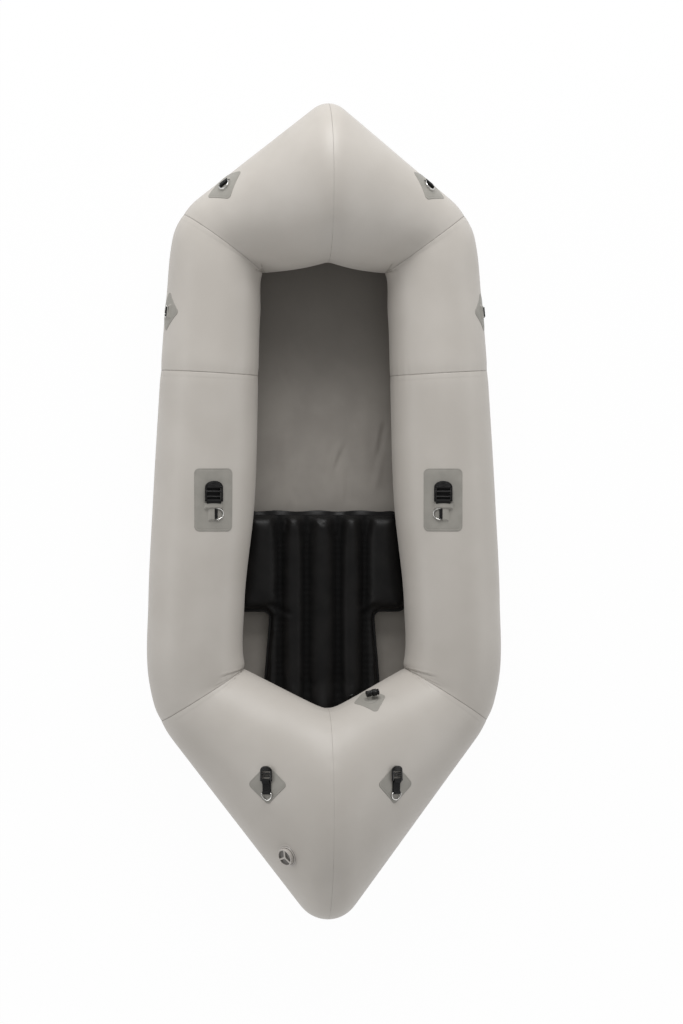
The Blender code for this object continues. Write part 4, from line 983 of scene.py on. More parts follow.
def black_tape():
    """Woven tape: ribs across it, a fine wale along it, and a little fuzz."""
    cloth = Finish("black webbing")
    across, along = cloth.mark("X"), cloth.mark("Y")
    rib = along.wave(TAPE_RIB) * across.wave(2 * TAPE_WALE)
    wale = across.wave(TAPE_WALE)
    fuzz = cloth.noise(0.0007, 2.0)
    base = cloth.blend(rib * 0.35 + fuzz * 0.6 + 0.2, TAPE_BLACK, TAPE_FUZZ)
    height = rib * 0.00012 + wale * 0.00005 + fuzz * 0.00006
    return cloth.surface({"Base Color": base, "Roughness": 0.5 + fuzz * 0.15,
                          "Specular IOR Level": 0.15, "Sheen Weight": 0.03,
                          "Sheen Roughness": 0.4}, height)


BLACK_TAPE = black_tape()


def black_thread():
    """Bonded thread, with its twist, whose crests carry a painted shine."""
    yarn = Finish("black thread")
    twist = yarn.mark("X").wave(0.0006) * 0.5 + 0.5
    # Painted highlight: the colour lightens along each crest of the twist
    base = yarn.blend(twist, THREAD_BLACK, THREAD_PAINTED_SHINE)
    return yarn.surface({"Base Color": base, "Roughness": 0.45, "Specular IOR Level": 0.2},
                        twist * 0.00004)


BLACK_THREAD = black_thread()


def under_of(node):
    """The way out of the hull at a flat-based node, from its largest face."""
    parts = {}
    for polygon in bpy.data.objects[node].data.polygons:
        key = tuple(round(c, 2) for c in polygon.normal)
        parts[key] = parts.get(key, 0.0) + polygon.area
    return -Vector(max(parts, key=parts.get)).normalized()


# The second layer of a patch, over a strap's tail: how wide its slopes are, how far it clears the
# tape, how thick its lip is and how far the lip turns in, and how deep its edge is welded
COVER_SLOPE = 0.0070
COVER_EASE = 0.0008
COVER_LIP = 0.0009
COVER_TURN_IN = 0.004
COVER_SUNK = 0.0003


def cover(name, basis, width, mouth, rise):
    """The patch's upper layer, raised over a strap's tail, with the slot the tape comes out of."""
    side = width / 2 + COVER_SLOPE + COVER_EASE
    far = -TAIL - COVER_SLOPE - COVER_EASE
    back = basis.inverted()
    xs = np.linspace(-side, side, 33)
    rows = []
    for y in np.linspace(far, mouth, 21):
        row = []
        for x in xs:
            share = smooth(min(1.0, min(side - abs(x), y - far) / COVER_SLOPE))
            low = (back @ dropped(PATCH_TREE, basis, x, y)).z - COVER_SUNK
            row.append((x, y, low + (rise + COVER_SUNK) * share, share))
        rows.append(row)
    edge = rows[-1]
    rows.append([(x, y + COVER_LIP * 0.4, z - COVER_LIP * 0.5 * s, s) for x, y, z, s in edge])
    rows.append([(x, y, z - COVER_LIP * s, s) for x, y, z, s in edge])
    rows.append([(x, y - COVER_TURN_IN, z - COVER_LIP * s, s) for x, y, z, s in edge])
    points = [basis @ Vector(p[:3]) for row in rows for p in row]
    faces = grid_faces(len(rows), len(xs), closed_across=False)
    made = new_mesh(name, [tuple(p) for p in points], faces, outward=False)
    face_towards(made, basis.col[2].xyz)
    mark_cloth(made, [(p[0], p[1], 0) for row in rows for p in row])
    fitted(made, PATCH_FABRIC, "patch_fabric", "hull")


def strap(node, joint_name, height, along, width, path_sizes, seam, slot=None, apron=0.0):
    """A sewn strap under a ring or a buckle, with its stitches and any cover over its tail. An
    apron is how far its lower layer runs on under a buckle."""
    axis = Vector(JOINTS[joint_name]["axis"]).normalized()
    out = under_of(node)
    hub = Vector(JOINTS[joint_name]["pos_m"])
    nearest, facing, _, _ = HULL_TREE.find_nearest(hub)
    if out.dot(facing) < 0:
        out = -out
    forward = out.cross(axis)
    basis = axes_at(hub - out * height - forward * along, axis, forward, out)
    shape = Shape()
    tape(shape, width, strap_path(*path_sizes), basis, closed=len(path_sizes) == 4)
    if apron:
        flat = [(y, TAPE_BASE - TAPE * 0.1) for y in np.linspace(-TAIL, apron, 16)]
        tape(shape, width * 0.98, flat, basis)
    one = shape.make(f"{node}_tape", basis)
    fitted(one, BLACK_TAPE, "webbing", "hull", node)
    sewing = Shape()
    stitches(sewing, basis, seam, mesh_tree(one))
    fitted(sewing.make(f"{node}_stitches", basis), BLACK_THREAD, "webbing", "hull")
    if slot:
        cover(f"{node}_cover", basis, width, *slot)


def box_and_cross(width, low, high):
    """The corners of a box of stitches with a cross in it."""
    side = width / 2 - 0.0025
    return [(-side, low), (side, low), (side, high), (-side, high), (-side, low), (side, high),
            (-side, high), (side, low)]


RING_HEIGHT = TAPE_BASE + TAPE + RING_BORE
BUCKLE_HEIGHT = TAPE_BASE + TAPE + BUCKLE_BORE
RING_SLOT = (-0.0058, 0.0041)
BUCKLE_SLOT = (-0.0062, 0.0066)
APRON = 0.034
SEAM_START = -TAIL + 0.002
RING_SEAM_END = -0.0075
BUCKLE_SEAM_END = -0.0095
STERN_SEAM = (-0.0145, 0.0020)
for hand, word in SIDES.items():
    ring_seam = box_and_cross(RING_TAPE, SEAM_START, RING_SEAM_END)
    for place in ("bow", "side", "mid"):
        strap(f"{place}_webbing_{word}", f"{place}_ring_swing_{word}", RING_HEIGHT, 0.0, RING_TAPE,
              (-TAIL, 0.0, RING_BORE), ring_seam, RING_SLOT)
    strap(f"mid_buckle_webbing_{word}", f"mid_buckle_swing_{word}", BUCKLE_HEIGHT, 0.0, WIDE_TAPE,
          (-TAIL, 0.0, BUCKLE_BORE), box_and_cross(WIDE_TAPE, SEAM_START, BUCKLE_SEAM_END),
          BUCKLE_SLOT, APRON)
    strap(f"stern_webbing_{word}", f"stern_buckle_swing_{word}", BUCKLE_HEIGHT,
          STERN_BUCKLE_PLACE, NARROW_TAPE,
          (STERN_RING_PLACE, STERN_BUCKLE_PLACE, BUCKLE_BORE, RING_BORE),
          box_and_cross(NARROW_TAPE, *STERN_SEAM))

# Ladder-locks. Moulded black nylon: two rails joined by three bars, which the strap is threaded
# round, and a domed tongue to lift with a thumb, bent up and ribbed for grip.
LOCK_THICKNESS = 0.0040
LOCK_RAIL = 0.0055
LOCK_BAR = 0.0040
LOCK_SLOT = 0.0075
LAST_BAR = 0.0250
TONGUE_START = 0.0335
TONGUE_END = 0.0530
LOCK_HALF = 0.0245
TONGUE_BEND = math.radians(10)
TONGUE_EASE = 0.008
TONGUE_ROUND = 0.0014
TONGUE_CROWN = 0.0012
SHOULDER_SHARE = 0.12
EDGE_ROUND = 0.0010
RAIL_CORNER = 0.0012
BAR_SHARE = 0.48
LAST_BAR_SHARE = 0.60
LAST_BAR_LIFT = 0.0004
GRIP_RIBS = 4
RIBS_SPREAD = 0.74
RIB_WIDTH_SHARE = 0.93
RIB_INSET = 0.003
RIB_LIFT = 0.0006
RIB_REACH = 0.0011
RIB_RISE = 0.0008
SLAB_STEP = 0.0010
ROD_STEPS = 8
NYLON_BLACK = (0.0025, 0.0023, 0.0022)
NYLON_WORN = (0.0060, 0.0054, 0.0050)


def slab(outline, round_off):
    """A flat plate of the lock's thickness over an outline, with rounded edges."""
    ring = spaced(outline, SLAB_STEP)
    centre = sum(ring, Vector((0, 0))) / len(ring)
    ring = [p - centre for p in ring]
    rows = []
    for turn in np.linspace(0, math.pi / 2, 5):
        inset = round_off * (1 - math.cos(turn))
        rows.append((inset, LOCK_THICKNESS / 2 - round_off + round_off * math.sin(turn)))
    levels = [(inset, -height) for inset, height in rows[::-1]] + rows
    points = []
    for inset, height in levels:
        points += [(p.x + centre.x, p.y + centre.y, height) for p in inset_ring(ring, inset)]
    inner = inset_ring(ring, round_off)
    for share in (0.66, 0.33):
        points += [(p.x * share + centre.x, p.y * share + centre.y, LOCK_THICKNESS / 2)
                   for p in inner]
    return points, capped(len(levels) + 2, len(ring))


def rod(half_length, y, z, reach, rise, sides=20):
    """A round bar along X, of a half-width and a half-height."""
    points = []
    for k in range(ROD_STEPS + 1):
        x = 2 * half_length * k / ROD_STEPS - half_length
        points += [(x, y + reach * math.cos(t), z + rise * math.sin(t)) for t in turns_of(sides)]
    return points, capped(ROD_STEPS + 1, sides)


def bent(points, root):
    """Points with what lies beyond the root bent up, easing into the bend."""
    moved = []
    for x, y, z in points:
        beyond = max(0.0, y - root)
        ease = min(1.0, beyond / TONGUE_EASE)
        moved.append((x, y, z + beyond * math.tan(TONGUE_BEND) * (0.5 + 0.5 * ease)))
    return moved


def ladder_lock(webbing):
    """A lock for a width of webbing, from its first bar, at the origin, to the tip of its tongue."""
    half_width = webbing / 2 + LOCK_RAIL
    rail_x = webbing / 2 + LOCK_RAIL / 2
    size = half_width / LOCK_HALF
    root = TONGUE_START * size
    tongue_length = TONGUE_END * size - root
    shoulder = root + tongue_length * SHOULDER_SHARE
    dome_length = tongue_length * (1 - SHOULDER_SHARE)
    shape = Shape()
    for side in SIDES:
        near, far = rail_x * side - LOCK_RAIL / 2, rail_x * side + LOCK_RAIL / 2
        rail = [(far, -LOCK_BAR / 2), (far, root + 0.001), (near, root + 0.001),
                (near, -LOCK_BAR / 2)]
        shape.add(*slab(rounded(rail, RAIL_CORNER, 4), EDGE_ROUND))
    for y in (0.0, LOCK_BAR + LOCK_SLOT):
        shape.add(*rod(rail_x, y, 0.0, LOCK_BAR / 2, LOCK_THICKNESS * BAR_SHARE))
    shape.add(*rod(rail_x, LAST_BAR * size, LAST_BAR_LIFT, LOCK_BAR * LAST_BAR_SHARE,
                   LOCK_THICKNESS * LAST_BAR_SHARE))
    dome = [Vector((half_width * math.cos(t), shoulder + dome_length * math.sin(t)))
            for t in np.linspace(0, math.pi, 40)]
    dome += [Vector((-half_width, root)), Vector((half_width, root))]
    points, faces = slab(dome, TONGUE_ROUND)
    crown = [(x, y, z + (TONGUE_CROWN * max(0.0, 1 - (x / half_width) ** 2) if z > 0 else 0.0))
             for x, y, z in points]
    shape.add(bent(crown, root), faces)
    pitch = tongue_length * RIBS_SPREAD / GRIP_RIBS
    for k in range(GRIP_RIBS):
        y = shoulder + pitch * (k + 0.5)
        bulge = max(0.05, 1 - ((y - shoulder) / dome_length) ** 2)
        across = half_width * RIB_WIDTH_SHARE * math.sqrt(bulge) - RIB_INSET
        points, faces = rod(across, y, LOCK_THICKNESS / 2 + RIB_LIFT, RIB_REACH, RIB_RISE, sides=10)
        shape.add(bent(points, root), faces)
    return shape


def black_plastic():
    """Moulded nylon, glossy and a little worn."""
    plastic = Finish("black nylon")
    grain = plastic.noise(0.0009, 3.0)
    cloud = plastic.noise(0.008, 2.0)
    base = plastic.blend(cloud, NYLON_BLACK, NYLON_WORN)
    return plastic.surface({"Base Color": base, "Roughness": 0.16 + grain * 0.16,
                            "Specular IOR Level": 0.26}, grain * 0.00002)


BLACK_PLASTIC = black_plastic()
for hand, word in SIDES.items():
    for place, width in (("mid", WIDE_TAPE), ("stern", NARROW_TAPE)):
        node = f"{place}_buckle_{word}"
        basis = hinge_basis(f"{place}_buckle_swing_{word}", node)
        one = ladder_lock(width).make(f"{node}_moulding", basis, sharp=50)
        fitted(one, BLACK_PLASTIC, "buckle_plastic", node, node)

# Main valve. Moulded soft grey plastic: a flange welded round a hole in the left of the stern, a
# screwed insert that holds a rubber flap, and a cap with three finger pockets, sealed by rings.
CAP_TOP = 0.0129
CAP_UNDERSIDE = 0.0081
CAP_SKIRT = 0.0030
CAP_RADIUS = 0.0240
CAP_CROWN = 0.0007
CAP_FLUTES = 40
FLUTE_DEPTH = 0.00035
POCKET_DEPTH = 0.0037
POCKET_RIM = 0.0032
HUB_RADIUS = 0.0042
SPOKE_HALF = 0.0021
POCKET_SLOPE = 0.0008
SPOKE_TURNS = (75, 195, 315)
CAP_SIDES = 240
BORE_RADIUS = 0.0168
BARREL_RADIUS = 0.0196
BARREL_DEPTH = 0.0095
FLANGE_DISC = 0.0275
WELD_SKIRT = 0.0315
SKIRT_THICKNESS = 0.0008
VALVE_GREY = (0.40, 0.372, 0.342)
VALVE_PALE = (0.46, 0.430, 0.398)
VALVE_SHADE = (0.060, 0.054, 0.048)
RUBBER_BLACK = (0.012, 0.012, 0.012)
RUBBER_DUSTY = (0.026, 0.025, 0.024)


def turned(shape, basis, profile, count, under, ripple=0, ripple_depth=0.0):
    """A closed ring turned about Z, from rows of radius, height, whether it follows what lies
    under it, whether it is rippled and, where shade is painted on it, how dark it is."""
    back = basis.inverted()
    points, values = [], []
    for radius, height, follows, ripples, *shade in profile:
        for turn in turns_of(count):
            x, y = radius * math.cos(turn), radius * math.sin(turn)
            base = (back @ dropped(under, basis, x, y)).z if follows else 0.0
            wave = max(0.0, math.cos(ripple * turn)) * ripple_depth if ripples else 0.0
            points.append((x, y, base + height + wave))
            values.append((x, y, sum(shade)))
    shape.add(points, grid_faces(len(profile), count, closed_along=True), values)


flange = Shape()
# A fifth number in a row paints shade, in the groove round the cap and on the flange's outer step
turned(flange, VALVE, (
    (BORE_RADIUS, -BARREL_DEPTH, False, False), (BORE_RADIUS, FLANGE_TOP - 0.0004, False, False),
    (BORE_RADIUS + 0.0004, FLANGE_TOP, False, False), (0.0220, FLANGE_TOP, False, False),
    (0.0242, FLANGE_TOP, False, False, 0.9), (0.0251, FLANGE_TOP, False, False, 0.0),
    (0.0266, FLANGE_TOP - 0.0003, False, False), (0.0271, FLANGE_TOP - 0.0009, False, False),
    (FLANGE_DISC, 0.0016, True, False, 0.7), (FLANGE_DISC + 0.0003, 0.0010, True, False, 0.8),
    (FLANGE_DISC + 0.0010, SKIRT_THICKNESS, True, False, 0.1),
    (0.0290, SKIRT_THICKNESS, True, False), (WELD_SKIRT - 0.0008, SKIRT_THICKNESS, True, False),
    (WELD_SKIRT, SKIRT_THICKNESS / 2, True, False), (WELD_SKIRT, -0.0004, True, False),
    (0.0262, -0.0004, True, False), (BARREL_RADIUS, -0.0014, True, False),
    (BARREL_RADIUS, -BARREL_DEPTH, False, False)), 160, HULL_TREE)


def pocket_share(radius, turn):
    """How deep in a finger pocket a place on the cap is, from 0 to 1."""
    off = min(abs((math.degrees(turn) - spoke + 180) % 360 - 180) for spoke in SPOKE_TURNS)
    beside = radius * math.sin(math.radians(min(off, 90))) - SPOKE_HALF
    inside = min(beside, CAP_RADIUS - POCKET_RIM - radius, radius - HUB_RADIUS)
    return smooth(min(1.0, max(0.0, inside / POCKET_SLOPE)))


cap_rows = [(r, CAP_UNDERSIDE, 0) for r in (0.0004, 0.0120, 0.0215)]
cap_rows += [(0.0217, CAP_SKIRT, 0), (0.0236, CAP_SKIRT, 0), (CAP_RADIUS, CAP_SKIRT + 0.0005, 0.3)]
cap_rows += [(CAP_RADIUS, z, 1) for z in np.linspace(0.0045, 0.0112, 6)]
cap_rows += [(CAP_RADIUS - 0.0010 * (1 - math.cos(t)), 0.0119 + 0.0010 * math.sin(t), 0)
             for t in np.linspace(0, math.pi / 2, 5)]
cap_tops = np.linspace(CAP_RADIUS - 0.0014, 0.0004, 48)
cap_points, cap_cloth = [], []
for radius, height, fluted in cap_rows:
    for turn in turns_of(CAP_SIDES):
        r = radius + fluted * FLUTE_DEPTH * (max(-0.3, math.cos(CAP_FLUTES * turn)) - 1)
        cap_points.append((r * math.cos(turn), r * math.sin(turn), height))
        cap_cloth.append((*cap_points[-1][:2], 0.0))
for radius in cap_tops:
    for turn in turns_of(CAP_SIDES):
        share = pocket_share(radius, turn)
        height = CAP_TOP - CAP_CROWN * (1 - radius / CAP_RADIUS) - POCKET_DEPTH * share
        cap_points.append((radius * math.cos(turn), radius * math.sin(turn), height))
        # The pocket's share also paints shade on the pocket's floor
        cap_cloth.append((*cap_points[-1][:2], share))
cap = Shape()
cap.add(cap_points, capped(len(cap_rows) + len(cap_tops), CAP_SIDES), cap_cloth)


def valve_grey():
    """Soft moulded plastic, with painted shade darkening its finger pockets and grooves."""
    plastic = Finish("grey plastic")
    pocket = plastic.mark("Z")
    grain = plastic.noise(0.0006, 3.0)
    cloud = plastic.noise(0.012, 2.0)
    base = plastic.blend(cloud, VALVE_GREY, VALVE_PALE)
    # Painted shade: the base darkens by the cloth's third number, in pockets and grooves
    base = plastic.blend(pocket * 0.9, base, VALVE_SHADE)
    return plastic.surface({"Base Color": base, "Roughness": 0.26 + grain * 0.16,
                            "Specular IOR Level": 0.5, "Coat Weight": 0.2,
                            "Coat Roughness": 0.2}, grain * 0.00003)


def rubber():
    """The dull black rubber of the seals and the flap."""
    stuff = Finish("seal rubber")
    grain = stuff.noise(0.0005, 3.0)
    base = stuff.blend(grain, RUBBER_BLACK, RUBBER_DUSTY)
    return stuff.surface({"Base Color": base, "Roughness": 0.62 + grain * 0.2,
                          "Specular IOR Level": 0.25}, grain * 0.00003)


def refinish(node, finish):
    """Gives a node of the frame a finish of this script."""
    for material_slot in bpy.data.objects[node].material_slots:
        material_slot.material = finish


VALVE_PLASTIC = valve_grey()
SEAL_RUBBER = rubber()
base = flange.make("valve_flange", VALVE, sharp=45)
fitted(base, VALVE_PLASTIC, "valve_plastic", "hull", "valve_base")
lid = cap.make("valve_lid", VALVE, sharp=60)
fitted(lid, VALVE_PLASTIC, "valve_plastic", "valve_cap", "valve_cap")
refinish("valve_insert", VALVE_PLASTIC)
for node in ("valve_insert_seal", "valve_cap_seal", "valve_diaphragm", "topup_seal"):
    refinish(node, SEAL_RUBBER)

# Top-up valve. A black moulded elbow on a round foot welded to its patch, with fluted grips on
# the barrel and on the mouthpiece that unscrews from it.
TOPUP_SIDES = 96
TOPUP_GRIPS = 16
GRIP_DEPTH = 0.0007
FOOT_RADIUS = 0.0205
FOOT_TICKS = 26
TICK_DEPTH = 0.0006
STUB_RADIUS = 0.0060
TOPUP_LENGTH = 0.0150
MOUTH_START = 0.0168
MOUTH_END = 0.0348
MOUTH_WAIST = 0.0280
TOPUP_RADIUS = 0.0080
MOUTH_RADIUS = 0.0095
AIR_RADIUS = 0.0035
END_ROUND = 0.0006


def fluted_tube(rows):
    """A tube turned about Z from rows of height, radius and how fluted it is, with flat ends."""
    points = []
    for height, radius, fluted in rows:
        for turn in turns_of(TOPUP_SIDES):
            r = radius - fluted * GRIP_DEPTH * (0.5 + 0.5 * math.cos(TOPUP_GRIPS * turn)) ** 2
            points.append((r * math.cos(turn), r * math.sin(turn), height))
    shape = Shape()
    shape.add(points, capped(len(rows), TOPUP_SIDES))
    return shape


SMOOTH, GRIPPED = 0.0, 1.0


def round_start(start, radius):
    """The rows that round the edge of an end."""
    return [(start + END_ROUND * (1 - math.cos(t)), radius - END_ROUND * (1 - math.sin(t)), SMOOTH)
            for t in (0.1, 0.8, 1.5)]


barrel_rows = [(0.0, 0.0004, SMOOTH), (0.0, TOPUP_RADIUS - END_ROUND, SMOOTH)]
barrel_rows += round_start(0.0, TOPUP_RADIUS)
barrel_rows += [(z, TOPUP_RADIUS, g) for z, g in (
    (0.0014, SMOOTH), (0.0020, GRIPPED), (0.0060, GRIPPED), (0.0066, SMOOTH), (0.0078, SMOOTH),
    (0.0084, GRIPPED), (0.0128, GRIPPED), (0.0134, SMOOTH))]
barrel_rows += [(TOPUP_LENGTH - 0.0003, TOPUP_RADIUS - 0.0001, SMOOTH),
                (TOPUP_LENGTH, TOPUP_RADIUS - END_ROUND, SMOOTH),
                (TOPUP_LENGTH, AIR_RADIUS, SMOOTH), (0.0020, AIR_RADIUS, SMOOTH),
                (0.0020, 0.0004, SMOOTH)]
mouth_rows = [(MOUTH_START, AIR_RADIUS, SMOOTH), (MOUTH_START, MOUTH_RADIUS - END_ROUND, SMOOTH)]
mouth_rows += round_start(MOUTH_START, MOUTH_RADIUS)
mouth_rows += [(z, r, g) for z, r, g in (
    (0.0182, MOUTH_RADIUS, SMOOTH), (0.0188, MOUTH_RADIUS, GRIPPED),
    (0.0262, MOUTH_RADIUS, GRIPPED), (0.0268, MOUTH_RADIUS, SMOOTH),
    (MOUTH_WAIST - 0.0004, MOUTH_RADIUS - 0.0002, SMOOTH),
    (MOUTH_WAIST, MOUTH_RADIUS - 0.0008, SMOOTH), (MOUTH_WAIST + 0.0004, TOPUP_RADIUS, SMOOTH),
    (0.0300, TOPUP_RADIUS - 0.0008, SMOOTH), (0.0312, TOPUP_RADIUS, SMOOTH),
    (MOUTH_END - 0.0006, TOPUP_RADIUS - 0.0001, SMOOTH), (MOUTH_END, TOPUP_RADIUS - 0.0010, SMOOTH),
    (MOUTH_END, AIR_RADIUS + 0.0004, SMOOTH), (MOUTH_END - 0.0030, AIR_RADIUS, SMOOTH))]

across_topup = topup_axis.cross(TOPUP_PLACE.col[2].xyz).normalized()
TUBE = axes_at(topup_spot, across_topup, topup_axis.cross(across_topup), topup_axis)
elbow = fluted_tube(barrel_rows).make("topup_elbow", TUBE, sharp=40)
fitted(elbow, BLACK_PLASTIC, "buckle_plastic", "hull", "topup_barrel")
mouth = fluted_tube(mouth_rows).make("topup_mouth", TUBE, sharp=40)
fitted(mouth, BLACK_PLASTIC, "buckle_plastic", "topup_mouthpiece", "topup_mouthpiece")

FOOT = basis_of(topup_spot + topup_axis * TOPUP_LENGTH / 2, TOPUP_PLACE.col[2].xyz, topup_axis)
foot = Shape()
turned(foot, FOOT, (
    (0.0004, -0.0003, True, False), (FOOT_RADIUS, -0.0003, True, False),
    (FOOT_RADIUS, 0.0003, True, False), (FOOT_RADIUS - 0.0005, 0.0008, True, False),
    (0.0190, 0.0009, True, False), (0.0180, 0.0009, True, True), (0.0125, 0.0010, True, True),
    (0.0115, 0.0012, True, False), (0.0090, 0.0014, True, False), (0.0072, 0.0024, True, False),
    (0.0063, 0.0038, True, False), (STUB_RADIUS, -TOPUP_RADIUS + 0.0012, False, False),
    (0.0004, -TOPUP_RADIUS + 0.0012, False, False)), 130, PATCH_TREE, FOOT_TICKS, TICK_DEPTH)
foot_piece = foot.make("topup_foot", FOOT, sharp=60)
fitted(foot_piece, PATCH_FABRIC, "patch_fabric", "hull", "topup_boot")

# Floor. One sheet of grey coated nylon, cut to the raft's outline and welded under the tubes all
# round. It is drawn tight between them, and a few soft creases stay in it.
FLOOR_WELD_IN = math.radians(237.857)
FLOOR_WELD_OUT = math.radians(250.714)
FLOOR_CLEARANCE = 0.0003
FLOOR_CLOTH = 0.0015
FLOOR_ROW = 0.008
FLOOR_COLUMNS = 72
FLOOR_MARGIN_STEPS = 4
FLOOR_START = 0.012
FLOOR_SWELL = 0.0009
UNDER_SEAT = 0.004
UNDER_SEAT_FADE = 0.035
FLOOR_GREY = (0.265, 0.245, 0.222)
FLOOR_PALE = (0.306, 0.284, 0.256)
# Painted shade: the floor darkens to this colour towards the bow, between these distances forward
FLOOR_SHADED = (0.150, 0.138, 0.122)
SHADED_FORWARD = (0.18, 0.62)

# A crease: from one end to the other in the plan, its height and its width. The line is a ridge
# with a valley beside it, so much shallower and so many widths off.
CREASE_VALLEY = 0.55
CREASE_VALLEY_OFF = 1.5
CREASE_END = 0.35
Crease = namedtuple("Crease", "x1 y1 x2 y2 height width")
FLOOR_CREASES = (
    Crease(-0.107, 0.391, -0.084, 0.328, -0.0034, 0.0060),
    Crease(-0.062, 0.314, -0.044, 0.274, -0.0026, 0.0050),
    Crease(0.069, 0.188, 0.033, 0.103, -0.0036, 0.0060),
    Crease(0.041, 0.180, 0.024, 0.085, 0.0030, 0.0070),
    Crease(0.170, 0.238, 0.154, 0.148, -0.0046, 0.0065),
    Crease(0.161, 0.148, 0.145, 0.057, 0.0034, 0.0080),
    Crease(0.070, 0.112, 0.069, 0.017, -0.0032, 0.0060),
    Crease(-0.071, 0.063, -0.066, 0.009, -0.0026, 0.0060),
    Crease(-0.098, 0.210, -0.090, 0.040, 0.0020, 0.0140),
    Crease(-0.020, 0.300, -0.026, 0.060, 0.0014, 0.0160),
    Crease(0.118, 0.330, 0.112, 0.090, 0.0018, 0.0150),
)


def creased(x, y, crease):
    """The height of a crease at plan points. It fades out at its ends."""
    run = np.array((crease.x2 - crease.x1, crease.y2 - crease.y1))
    length = np.linalg.norm(run)
    run /= length
    along = (x - crease.x1) * run[0] + (y - crease.y1) * run[1]
    beside = (x - crease.x1) * run[1] - (y - crease.y1) * run[0]
    share = np.minimum(along, length - along) / (CREASE_END * length) + 0.3
    widths = beside / crease.width
    valley = CREASE_VALLEY * np.exp(-(widths - CREASE_VALLEY_OFF) ** 2)
    return crease.height * smooth(np.clip(share, 0, 1)) * (np.exp(-widths ** 2) - valley)


def smooth_share(values, low, high):
    """From 0 at low to 1 at high, smoothly."""
    return smooth(np.clip((values - low) / (high - low), 0, 1))


floor_offset = FLOOR_CLEARANCE + FLOOR_CLOTH / 2
margin_angles = np.linspace(FLOOR_WELD_OUT, FLOOR_WELD_IN, FLOOR_MARGIN_STEPS + 1)
stations, place = [FLOOR_START], FLOOR_START
while place < len(CHAMBERS) - FLOOR_START:
    place += FLOOR_ROW / LENGTHS[min(int(place), len(CHAMBERS) - 1)]
    stations.append(min(place, len(CHAMBERS) - FLOOR_START))
floor_rows, floor_line = [], []
for place in stations:
    starboard = hull_points(STARBOARD, place, margin_angles, floor_offset)[0]
    port = starboard * (-1, 1, 1)
    edge = starboard[-1]
    x = np.linspace(-edge[0], edge[0], FLOOR_COLUMNS + 1)[1:-1]
    y = np.full(FLOOR_COLUMNS - 1, edge[1])
    z = np.full(FLOOR_COLUMNS - 1, edge[2])
    inward = smooth_share(edge[0] - np.abs(x), 0.0, 0.03)
    ahead = smooth_share(y, UNDER_SEAT, UNDER_SEAT + UNDER_SEAT_FADE)
    swell = FLOOR_SWELL * np.sin(x * 46 + 1.1 * np.sin(y * 9)) * np.sin(y * 7.5 + 0.6)
    z = z + inward * ahead * (swell + sum(creased(x, y, crease) for crease in FLOOR_CREASES))
    floor_rows.append(np.concatenate((port, np.stack((x, y, z), axis=1), starboard[::-1])))
    floor_line.append((edge[1], edge[2]))
floor_count = len(floor_rows[0])
upper = np.array(floor_rows)
down = np.gradient(upper, axis=0)
cross = np.gradient(upper, axis=1)
facing = np.cross(cross, down)
facing /= np.linalg.norm(facing, axis=2)[:, :, None] + 1e-12
facing *= np.sign(facing[:, :, 2:3]) + (facing[:, :, 2:3] == 0)
top_sheet = (upper + facing * FLOOR_CLOTH / 2).reshape(-1, 3)
low_sheet = (upper - facing * FLOOR_CLOTH / 2).reshape(-1, 3)
sheet_faces = grid_faces(len(floor_rows), floor_count, closed_across=False)


def two_sided(faces, count):
    """The faces of a sheet with a second side, whose points follow in the same order."""
    sides = {(a, b) for face in faces for a, b in zip(face, face[1:] + face[:1])}
    rim = sorted((a, b) for a, b in sides if (b, a) not in sides)
    lower = [tuple(count + i for i in face[::-1]) for face in faces]
    return faces + lower + [(b, a, count + a, count + b) for a, b in rim]


def floor_cloth():
    """The floor's coated nylon, darker towards the bow with painted shade from the bow tube."""
    cloth = Finish("floor fabric")
    across, along = cloth.mark("X"), cloth.mark("Y")
    cloud = cloth.noise(0.11, 3.0)
    grain = cloth.noise(0.003, 3.0)
    base = cloth.blend(cloud.step(*CLOUD_EDGES), FLOOR_GREY, FLOOR_PALE)
    # Painted shade, deepest under the bow
    base = cloth.blend(along.step(*SHADED_FORWARD) * 0.85, base, FLOOR_SHADED)
    height = woven(along, across, 0.0006, 0.00002) + grain * 0.00006 + cloud * 0.0012
    return cloth.surface({"Base Color": base, "Roughness": 0.52 + grain * 0.12,
                          "Specular IOR Level": 0.35, "Sheen Weight": 0.05}, height)


floor_sheet = new_mesh("floor_sheet", np.concatenate((top_sheet, low_sheet)),
                       two_sided(sheet_faces, len(top_sheet)))
mark_cloth(floor_sheet, np.concatenate((top_sheet, low_sheet)))
fitted(floor_sheet, floor_cloth(), "floor_fabric", "hull", "floor")


def floor_top(forward):
    """The height of the flat floor's upper face at distances forward."""
    line = np.array(floor_line)[::-1]
    return np.interp(forward, line[:, 0], line[:, 1]) + FLOOR_CLOTH / 2


# Seat. A T-shaped cushion of black coated nylon, its two faces welded in a hem round its edge and
# drawn together along four channels. It lies on the floor with its tail under the stern.
SEAT_THICKNESS = 0.075
SEAT_FRONT = -0.003
EAR_LENGTH = 0.265
NECK_WIDTH = 0.280
TAIL_WIDTH = 0.316
SIDE_TUCK = 0.018
TAIL_TUCK = 0.045
CORNER_RADIUS = 0.028
NECK_RADIUS = 0.016
HEM = 0.005
SHOULDER = 0.040
HEM_THICKNESS = 0.0015
SEAM_SHARE = 0.45
VALLEY_SHARE = 0.60
VALLEYS = (-0.1135, -0.0425, 0.0425, 0.1135)
OUTER_SHOULDER = 0.034
PLAN_STEP = 0.0085
AIR_SHRINK = 0.0025
VOXEL = 0.0058
AIR_PRESSURE = 4.0
AIR_FRAMES = 20
AIR_CAP = 0.0085
HELD_NEAR_VALLEY = 0.007
HELD_NEAR_HEM = 0.009
TUBE_CLEARANCE = 0.0012
TUBE_NEAR = 0.05
VALLEY_REACH = 0.020
